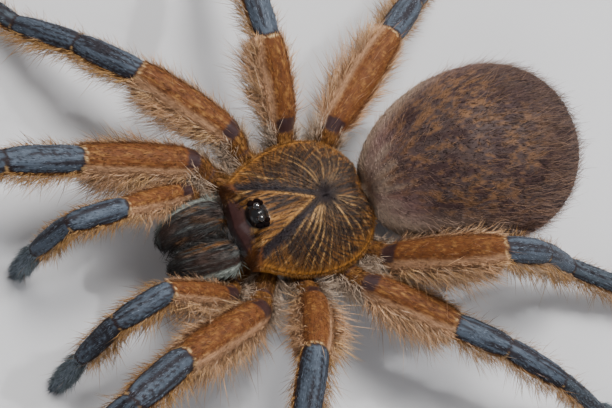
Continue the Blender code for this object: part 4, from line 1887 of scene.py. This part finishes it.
    def whiskers(self, owners: list[int], kinds: list[Kind], cut: Cut, pale: float, seed: int) -> Tufts:
        """Grows long, fine, pale hairs that stand out singly.

        Args:
            owners: Whose flesh they grow on.
            kinds: Which stretches of it.
            cut: Their sizes, angles and number in a square millimetre.
            pale: How far they turn from the pattern's colour to sand.
            seed: Which random numbers to take.

        Returns:
            The tufts.
        """
        random = np.random.default_rng(seed)
        under = self.under
        face = np.isin(under.kind, self.SHANK) & (np.abs(under.turn) < self.BLUE_FACE)
        rear = 0.25 + 0.75 * smooth(0.3, 0.75, under.share)
        weight = np.where(face, 0.0, np.where(under.kind == Kind.ABDOMEN, rear, 1.0))
        at, normal = self.sow(owners, kinds, weight, cut.density, random)
        count = len(at.share)
        made = self.grow(at, normal, cut.rows(count), owners, seed + 1)
        made.dye(self.markings.sand, pale * random.uniform(0.5, 1.2, count))
        made.steel = made.steel * 0
        return made

    def shield_coat(self, seed: int) -> tuple[Tufts, Tufts]:
        """Grows the shield's combed hair, and the fringe round its rim."""
        random = np.random.default_rng(seed)
        return self.shield_hair(random), self.rim_hair(random)

    def shield_place(self, flat: Array) -> Array:
        """Unwraps places on the shield, in plan, to map coordinates."""
        return 0.02 + 0.95 * (flat / self.SHIELD_SPAN + 0.5)

    def shield_hair(self, random: np.random.Generator) -> Tufts:
        """Grows hair that is combed from the pit to the rim, and forwards on the head.

        Args:
            random: Where the chances come from.

        Returns:
            The tufts.
        """
        top = np.clip(self.plate.normals[self.plate.triangles[:, 0], 2] * 3, 0, 1)
        points, normal = self.plate.plant(top, self.SHIELD_DENSITY, random)
        local = points - MIDDLE
        marks = self.markings.of_shield(self.shield, local)
        kept = marks.bare < random.random(len(points)) * 0.8
        points, normal, local = points[kept], normal[kept], local[kept]
        marks = self.markings.of_shield(self.shield, local)
        count = len(points)
        x, y = local.T[:2]
        inside = smooth(0.0, 0.5, self.shield.groove(x, y))[:, None]
        outward = unit(np.stack((x, y - self.shield.pit_y, x * 0), axis=1))
        forward = unit(np.stack((x * 0.12, np.full(count, -1.0), x * 0), axis=1))
        lay = unit(outward * (1 - inside) + forward * inside)
        lay = unit(laid_flat(lay, normal))
        return Tufts(
            root=points,
            normal=normal,
            lay=unit(lay + random.normal(0, 0.1, (count, 3))),
            length=random.uniform(0.5, 1.0, count),
            width=random.uniform(0.04, 0.065, count),
            rise=random.uniform(4, 12, count),
            droop=random.uniform(2, 8, count),
            swerve=random.normal(0, 7, count),
            pigment=marks.pigment,
            steel=np.zeros(count),
            tint=random.random(count),
            place=self.shield_place(local[:, :2]),
        )

    def rim_hair(self, random: np.random.Generator) -> Tufts:
        """Grows the short golden fringe round the shield's rim.

        Args:
            random: Where the chances come from.

        Returns:
            The tufts.
        """
        outline = self.shield.outline(self.RIM_STEPS)
        middle = (outline + np.roll(outline, -1, axis=0)) / 2
        run = unit(np.roll(outline, -1, axis=0) - outline)
        out = np.stack((run[:, 1], -run[:, 0]), axis=1)
        out *= np.sign(np.sum(out * middle, axis=1, keepdims=True))
        repeat = np.repeat(np.arange(len(middle)), 2)
        repeat = repeat[middle[repeat, 1] > self.RIM_FRONT]
        count = len(repeat)
        flat = middle[repeat] + random.normal(0, 0.03, (count, 2)) - out[repeat] * 0.1
        edge = self.shield.margin_height - random.uniform(0.02, 0.3, count)
        edge = edge + self.shield.lift(flat[:, 1])
        outward = np.column_stack((out[repeat], np.zeros(count)))
        backward = np.tile((0.0, 0.35, 0.0), (count, 1))
        amber = np.tile(np.array(self.markings.amber), (count, 1))
        return Tufts(
            root=np.column_stack((flat, edge)) + MIDDLE,
            normal=np.tile(UP, (count, 1)),
            lay=unit(outward + backward * 0.6 + random.normal(0, 0.14, (count, 3))),
            length=random.uniform(0.25, 0.65, count),
            width=np.full(count, 0.045),
            rise=random.uniform(-6, 16, count),
            droop=random.uniform(15, 50, count),
            swerve=random.normal(0, 12, count),
            pigment=blend(amber, self.markings.gilt, random.random(count)),
            steel=np.zeros(count),
            tint=random.random(count),
            place=self.shield_place(flat),
        )


# ---- finishes


@dataclass
class Value:
    """A number that varies over a surface, with the usual signs of arithmetic."""

    graph: "Graph"
    socket: bpy.types.NodeSocket

    def __add__(self, other: "Value | float") -> "Value":
        """Returns this plus the other."""
        return self.graph.math("ADD", self, other)

    __radd__ = __add__

    def __mul__(self, other: "Value | float") -> "Value":
        """Returns this times the other."""
        return self.graph.math("MULTIPLY", self, other)

    __rmul__ = __mul__

    def __sub__(self, other: "Value | float") -> "Value":
        """Returns this less the other."""
        return self.graph.math("SUBTRACT", self, other)

    def __rsub__(self, other: "Value | float") -> "Value":
        """Returns the other less this."""
        return self.graph.math("SUBTRACT", other, self)

    def __pow__(self, other: "Value | float") -> "Value":
        """Returns this to the power of the other."""
        return self.graph.math("POWER", self, other)


class Graph:
    """A material's nodes, with its Principled shader ready."""

    def __init__(self, name: str, **constants: float) -> None:
        """Starts a material whose shader has these constant sockets.

        Args:
            name: The material's name.
            constants: Plain values for the shader's sockets.
        """
        self.material = bpy.data.materials.new(name)
        self.material.use_nodes = True
        self.tree = self.material.node_tree
        self.shader = self.tree.nodes["Principled BSDF"]
        for socket, value in constants.items():
            self.shader.inputs[socket.replace("_", " ").title().replace("Ior", "IOR")].default_value = value

    def node(self, kind: str, settings: dict | None = None, inputs: dict | None = None) -> bpy.types.Node:
        """Makes a node.

        Args:
            kind: Its Blender type.
            settings: Its own settings, which are set first.
            inputs: Values or links for its sockets, by name or number.

        Returns:
            The node.
        """
        made = self.tree.nodes.new(kind)
        for name, value in (settings or {}).items():
            setattr(made, name, value)
        for name, value in (inputs or {}).items():
            self.feed(made.inputs[name], value)
        return made

    def feed(self, socket: bpy.types.NodeSocket, value: object) -> None:
        """Gives a socket a link or a plain value.

        Args:
            socket: The socket.
            value: A link, or a plain value.
        """
        source = value.socket if isinstance(value, Value) else value
        if isinstance(source, bpy.types.NodeSocket):
            self.tree.links.new(source, socket)
        else:
            socket.default_value = source

    def math(self, operation: str, first: Value | float, second: Value | float) -> Value:
        """Returns the outcome of a Math node."""
        made = self.node("ShaderNodeMath", {"operation": operation}, {0: first, 1: second})
        return Value(self, made.outputs[0])

    def number(self, name: str) -> Value:
        """Returns a number stored on the mesh."""
        made = self.node("ShaderNodeAttribute", {"attribute_name": name})
        return Value(self, made.outputs["Fac"])

    def vector(self, name: str) -> bpy.types.NodeSocket:
        """Returns a vector stored on the mesh."""
        return self.node("ShaderNodeAttribute", {"attribute_name": name}).outputs["Vector"]

    def noise(self, where: bpy.types.NodeSocket, scale: float, detail: float = 2.0) -> Value:
        """Returns noise at a place."""
        made = self.node("ShaderNodeTexNoise", None, {"Vector": where, "Scale": scale, "Detail": detail})
        return Value(self, made.outputs["Fac"])

    def place(self) -> bpy.types.NodeSocket:
        """Returns the surface's own place in space."""
        return self.node("ShaderNodeTexCoord").outputs["Object"]

    def scaled(self, colour: bpy.types.NodeSocket | Colour, amount: Value | float) -> bpy.types.NodeSocket:
        """Returns a colour made brighter or darker."""
        made = self.node("ShaderNodeVectorMath", {"operation": "SCALE"}, {0: colour, "Scale": amount})
        return made.outputs[0]

    def mixed(self, share: Value | float, first: object, second: object) -> bpy.types.NodeSocket:
        """Returns a mix of two colours."""
        made = self.node("ShaderNodeMix", {"data_type": "RGBA"}, {0: share, 6: first, 7: second})
        return made.outputs[2]

    def bump(self, height: Value, strength: float, distance: float) -> bpy.types.NodeSocket:
        """Returns the normal that a height gives."""
        inputs = {"Height": height, "Strength": strength, "Distance": distance}
        return self.node("ShaderNodeBump", None, inputs).outputs[0]

    def finish(self, **varying: object) -> bpy.types.Material:
        """Feeds the shader and returns the material."""
        for name, value in varying.items():
            self.feed(self.shader.inputs[name.replace("_", " ").title()], value)
        return self.material


@dataclass(frozen=True)
class HideFinish:
    """Skin under the coat: the pattern itself, fine combed relief, and gloss where it is bare."""

    name: str
    glint: float = 0.15
    wetness: float = 0.2
    speckle_scale: float = 2600.0
    relief: float = 0.00012

    def material(self) -> bpy.types.Material:
        """Returns the material.

        Returns:
            The material.
        """
        graph = Graph(self.name, specular_ior_level=self.glint, coat_roughness=self.wetness)
        bare = graph.number("bare")
        steel = graph.number("steel")
        grain = graph.vector("grain")
        combed = graph.noise(grain, 1.0, 3.0)
        speckle = graph.noise(graph.place(), self.speckle_scale, 2.0)
        pigment = graph.vector("pigment")
        shade = graph.scaled(pigment, 0.45 + 0.55 * combed + 0.25 * speckle)
        height = combed * (1 - bare) + 0.3 * speckle
        return graph.finish(
            base_color=shade,
            roughness=0.66 - 0.3 * bare - 0.12 * steel,
            metallic=0.5 * steel,
            coat_weight=0.9 * bare,
            normal=graph.bump(height, 0.55, self.relief),
        )


@dataclass(frozen=True)
class HairFinish:
    """Hair of the coat: painted shade darkens each hair at its root and fades along its length to a brighter
    tip; no two tufts alike.
    """

    name: str
    roughness: float
    glint: float
    # How bright a hair is at its root, under painted shade, and at its tip.
    root: float = 0.42
    tip: float = 1.17
    fleck_scale: float = 900.0

    def material(self) -> bpy.types.Material:
        """Returns the material.

        Returns:
            The material.
        """
        graph = Graph(self.name, specular_ior_level=self.glint)
        reach = graph.number("reach")
        tint = graph.number("tint")
        steel = graph.number("steel")
        fleck = graph.noise(graph.place(), self.fleck_scale, 1.0)
        # Painted shade at each hair's root, fading along its length, times a random tone per tuft and fine
        # flecks.
        light = (self.root + (self.tip - self.root) * reach) * (0.62 + 0.75 * tint) * (0.75 + 0.5 * fleck)
        return graph.finish(
            base_color=graph.scaled(graph.vector("pigment"), light),
            roughness=self.roughness + 0.2 * (1 - tint) - 0.1 * steel,
            metallic=0.6 * steel,
        )


@dataclass(frozen=True)
class LensFinish:
    """Wet black lens with a trace of amber in its depth."""

    name: str = "lens"
    polish: float = 0.06
    gloss: float = 1.0
    coat_ior: float = 1.95
    depth: Colour = (0.003, 0.0025, 0.003)
    glow: Colour = (0.014, 0.006, 0.004)

    def material(self) -> bpy.types.Material:
        """Returns the material.

        Returns:
            The material.
        """
        graph = Graph(
            self.name,
            specular_ior_level=0.5 * self.gloss,
            coat_roughness=0.02,
            coat_weight=self.gloss,
            coat_ior=self.coat_ior,
        )
        swirl = graph.noise(graph.place(), 1800.0, 3.0)
        colour = graph.mixed(swirl**2.0, (*self.depth, 1), (*self.glow, 1))
        return graph.finish(base_color=colour, roughness=self.polish + 0.08 * swirl)


@dataclass(frozen=True)
class HornFinish:
    """Polished black-brown horn, mottled with red-brown, with faint fine scratches."""

    name: str = "horn"
    deep: Colour = (0.012, 0.005, 0.004)
    tip: Colour = (0.07, 0.014, 0.008)

    def material(self) -> bpy.types.Material:
        """Returns the material.

        Returns:
            The material.
        """
        graph = Graph(self.name, specular_ior_level=0.6)
        swirl = graph.noise(graph.place(), 700.0, 4.0)
        colour = graph.mixed(swirl**1.6, (*self.deep, 1), (*self.tip, 1))
        scratch = graph.noise(graph.place(), 3800.0, 2.0)
        return graph.finish(
            base_color=colour, roughness=0.16 + 0.2 * scratch, normal=graph.bump(scratch, 0.15, 0.00005)
        )


@dataclass(frozen=True)
class FloorFinish:
    """Plain pale matt board."""

    name: str = "floor"
    colour: Colour = (0.46, 0.46, 0.475)

    def material(self) -> bpy.types.Material:
        """Returns the material.

        Returns:
            The material.
        """
        graph = Graph(self.name, specular_ior_level=0.2)
        cloud = graph.noise(graph.place(), 60.0, 2.0)
        shade = graph.scaled(self.colour, 0.97 + 0.06 * cloud)
        return graph.finish(base_color=shade, roughness=0.85 + 0.05 * cloud)


# ---- studio


@dataclass(frozen=True)
class Lamp:
    """A soft round light: its place from the spider and its size in metres, and its power in watts."""

    name: str
    place: tuple
    size: float
    power: float
    colour: Colour
    glossy: bool = True

    def build(self, aim: Vector) -> None:
        """Makes the light, facing the spider, with or without its own reflection.

        Args:
            aim: What it faces, in metres.
        """
        data = bpy.data.lights.new(self.name, "AREA")
        data.shape = "DISK"
        data.size = self.size
        data.energy = self.power
        data.color = self.colour
        light = bpy.data.objects.new(self.name, data)
        light.visible_glossy = self.glossy
        light.location = aim + Vector(self.place)
        light.rotation_euler = (aim - light.location).to_track_quat("-Z", "Y").to_euler()
        bpy.context.scene.collection.objects.link(light)


@dataclass
class Studio:
    """The camera, placed in millimetres, and the floor, lights and sky, sized in metres."""

    eye: tuple = (35.18, -68.05, 163.47)
    aim: tuple = (-0.37, 1.33, 8.1)
    roll: float = 42.0
    lens: float = 100.0
    sensor: float = 36.0
    floor_half: float = 0.6
    floor_rings: tuple = ((0.35, 0.0), (0.8, 0.0), (1.0, 0.004))
    sky: tuple = (0.86, 0.88, 0.92, 1)
    sky_strength: float = 0.34
    lamps: tuple = (
        Lamp("key", (-0.16, 0.10, 0.42), 0.20, 3.2, (1.0, 0.98, 0.95)),
        Lamp("fill", (0.35, -0.30, 0.30), 0.45, 1.8, (0.95, 0.97, 1.0), glossy=False),
        Lamp("back", (-0.30, 0.45, 0.25), 0.35, 1.2, (1.0, 0.97, 0.93), glossy=False),
        Lamp("flash", (-0.016, 0.21, 0.28), 0.012, 0.75, (1.0, 1.0, 1.0)),
    )

    def build(self) -> None:
        """Makes the floor, the camera, the lights and the sky."""
        self.make_floor()
        self.make_camera()
        aim = Vector(MIDDLE) * MM
        for lamp in self.lamps:
            lamp.build(aim)
        world = bpy.data.worlds.new("studio")
        bpy.context.scene.world = world
        world.use_nodes = True
        sky = world.node_tree.nodes["Background"]
        sky.inputs["Color"].default_value = self.sky
        sky.inputs["Strength"].default_value = self.sky_strength

    def make_floor(self) -> None:
        """Makes the pale floor with a softly raised far edge out of sight."""
        half = self.floor_half
        square = ((1, 1), (-1, 1), (-1, -1), (1, -1))
        rings = []
        for reach, height in self.floor_rings:
            rings.append([(x * half * reach, y * half * reach, height) for x, y in square])
        points = np.array(rings).reshape(-1, 3) / MM
        quads = []
        for k in range(2):
            for i in range(4):
                j = (i + 1) % 4
                quads.append((4 * k + i, 4 * k + j, 4 * k + 4 + j, 4 * k + 4 + i))
        made = Net(points, [np.array([(0, 1, 2, 3)]), np.array(quads)[:, ::-1]]).mesh("floor")
        floor = bpy.data.objects.new("floor", made)
        bpy.context.scene.collection.objects.link(floor)
        made.materials.append(FloorFinish().material())

    def make_camera(self) -> None:
        """Makes the camera, above the spider's front left and rolled."""
        eye = np.array(self.eye) + MIDDLE
        forward = unit(np.array(self.aim) + MIDDLE - eye)
        right = unit(np.cross(forward, UP))
        down = np.cross(forward, right)
        turn = math.radians(self.roll)
        image_right = right * math.cos(turn) - down * math.sin(turn)
        image_down = right * math.sin(turn) + down * math.cos(turn)
        data = bpy.data.cameras.new("camera")
        data.lens = self.lens
        data.sensor_width = self.sensor
        data.clip_start = 0.01
        camera = bpy.data.objects.new("camera", data)
        rows = Matrix((image_right, -image_down, -forward)).transposed()
        camera.matrix_world = Matrix.Translation(Vector(eye * MM)) @ rows.to_4x4()
        bpy.context.scene.collection.objects.link(camera)
        bpy.context.scene.camera = camera


# ---- assembly


class Spider:
    """Builds every piece and dresses it."""

    def __init__(self) -> None:
        """Builds the flesh, the skin and the shield."""
        self.body = Body()
        self.markings = Markings()
        self.shield = Shield()
        self.eyes = Eyes()
        self.skin = self.body.skin()
        self.plate = self.shield.net(self.eyes)
        self.barber = Barber(self.body, self.skin, self.shield, self.plate, self.markings)
        self.hair = {
            "velvet": HairFinish("velvet", 0.55, 0.22).material(),
            # The fringe has little painted shade at its roots.
            "fringe": HairFinish("fringe", 0.5, 0.3, root=0.92).material(),
            "gold": HairFinish("gold", 0.42, 0.4).material(),
        }

    def piece(self, name: str, mesh: bpy.types.Mesh) -> bpy.types.Object:
        """Returns a new object of a mesh, linked to the scene."""
        made = bpy.data.objects.new(name, mesh)
        bpy.context.scene.collection.objects.link(made)
        return made

    def settle(self, piece: bpy.types.Object, slot: str, material: bpy.types.Material, *nodes: str) -> None:
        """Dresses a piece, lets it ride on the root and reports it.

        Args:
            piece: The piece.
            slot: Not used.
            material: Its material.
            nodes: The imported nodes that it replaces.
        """
        piece.data.materials.append(material)
        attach(piece, "root")
        if nodes:
            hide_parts(*nodes)
        faces = sum(len(polygon.vertices) - 2 for polygon in piece.data.polygons)
        log.info("%s: %d triangles", piece.name, faces)

    def flesh_nodes(self) -> list[str]:
        """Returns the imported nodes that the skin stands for."""
        rigid = ("carapace", "eye", "fang")
        return [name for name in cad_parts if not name.startswith(rigid)]

    def make_skin(self) -> None:
        """Makes the one skin, with its pattern and the lie of its coat."""
        at = self.body.read(self.skin.points)
        marks = self.markings.of_flesh(at)
        mesh = self.skin.mesh("skin")
        around = np.radians(at.turn) * 1.6
        write_marks(mesh, marks, np.stack((at.travel * 0.8, around * 6.5, at.owner * 9.1), axis=1))
        self.settle(self.piece("skin", mesh), "root", HideFinish("hide").material(), *self.flesh_nodes())

    def make_shield(self) -> None:
        """Makes the head shield with its mound."""
        local = self.plate.points - MIDDLE
        marks = self.markings.of_shield(self.shield, local)
        mesh = self.plate.mesh("shield")
        x, y, z = (local - (0.0, self.shield.pit_y, 0.0)).T
        write_marks(mesh, marks, np.stack((np.arctan2(x, y) * 22, np.hypot(x, y) * 0.8, z * 0), axis=1))
        self.settle(self.piece("shield", mesh), "carapace", HideFinish("shield_hide").material(), "carapace")

    def make_eyes(self) -> None:
        """Makes the eight lenses: the round front ones singly, and the flanks' by threes."""
        lens = LensFinish().material()
        dull = LensFinish("flank_lens", 0.3, 0.0).material()
        for side in Side:
            name = side.name.lower()
            front, *flank = self.eyes.of_side(side)
            mesh = self.eyes.lens(*front).mesh(f"eye_{name}")
            self.settle(self.piece(f"eye_{name}", mesh), "eye", lens, f"eye_front_{name}")
            group = self.eyes.lens(*flank[0])
            for centre, halves in flank[1:]:
                group = group.joined(self.eyes.lens(centre, halves))
            piece = self.piece(f"flank_eyes_{name}", group.mesh(f"flank_eyes_{name}"))
            self.settle(piece, "eye", dull, f"eyes_flank_{name}")

    def make_fangs(self) -> None:
        """Makes both fangs."""
        horn = HornFinish().material()
        for side in Side:
            name = side.name.lower()
            mesh = Fang(side).net().mesh(f"fang_horn_{name}")
            self.settle(self.piece(f"fang_horn_{name}", mesh), "fang", horn, f"fang_{name}")

    def coat(self, name: str, tufts: Tufts, slot: str, hair: str, thatch: Thatch) -> None:
        """Adds one coat piece."""
        self.settle(self.piece(name, thatch.mesh(name, tufts)), slot, self.hair[hair])

    def make_leg_coats(self, thatch: Thatch) -> None:
        """Grows the coats and fringes of the legs and palps, by sides.

        Args:
            thatch: How short tufts are made.
        """
        barber = self.barber
        thigh = [Kind.COXA, Kind.TROCHANTER, Kind.FEMUR]
        shank = [*barber.SHANK, Kind.TARSUS]
        for side, seed in ((Side.LEFT, 100), (Side.RIGHT, 200)):
            name = side.name.lower()
            owners = [number for number, limb in enumerate(self.body.limbs) if limb.side == side]
            tufts = barber.short_coat(owners, thigh, seed)
            self.coat(f"thigh_coat_{name}", tufts, "orange", "velvet", thatch)
            for part, chosen in (("front", owners[:3]), ("rear", owners[3:])):
                part_seed = seed + len(chosen) * 10
                tufts = barber.short_coat(chosen, shank, part_seed)
                self.coat(f"shank_coat_{name}_{part}", tufts, "blue", "velvet", thatch)
                tufts = barber.fringe(chosen, part_seed + 5)
                stray = barber.whiskers(chosen, thigh + shank, LEG_STRAYS, 0.5, seed + 60)
                self.coat(f"fringe_{name}_{part}", tufts.joined(stray), "orange", "fringe", thatch)

    def make_coats(self) -> None:
        """Grows and dresses every coat piece."""
        barber = self.barber
        short = Thatch((0.38,), (1.0,))
        long = Thatch((0.24, 0.62), (1.0, 0.72))
        self.make_leg_coats(short)
        tail = [self.body.abdomen_owner]
        tufts = barber.short_coat(tail, [Kind.ABDOMEN, Kind.FINGER], 300)
        self.coat("abdomen_coat", tufts, "abdomen", "velvet", short)
        tufts = barber.whiskers(tail, [Kind.ABDOMEN], ABDOMEN_NAP, 0.16, 310)
        tufts = tufts.joined(barber.whiskers(tail, [Kind.ABDOMEN], ABDOMEN_STRAYS, 0.3, 315))
        self.coat("abdomen_whiskers", tufts, "abdomen", "fringe", long)
        jaws = [self.body.jaw_owner, self.body.jaw_owner + 1]
        self.coat("jaw_coat", barber.short_coat(jaws, [Kind.JAW], 320), "jaw", "velvet", long)
        tufts = barber.short_coat([self.body.core_owner], [Kind.CORE], 325)
        self.coat("belly_coat", tufts, "root", "velvet", long)
        combed, rim = barber.shield_coat(330)
        self.coat("shield_coat", combed, "carapace", "gold", short)
        self.coat("shield_rim", rim, "carapace", "gold", short)


def main() -> None:
    """Builds the spider in its studio."""
    spider = Spider()
    spider.make_skin()
    spider.make_shield()
    spider.make_eyes()
    spider.make_fangs()
    spider.make_coats()
    Studio().build()


if __name__ == "__main__":
    main()
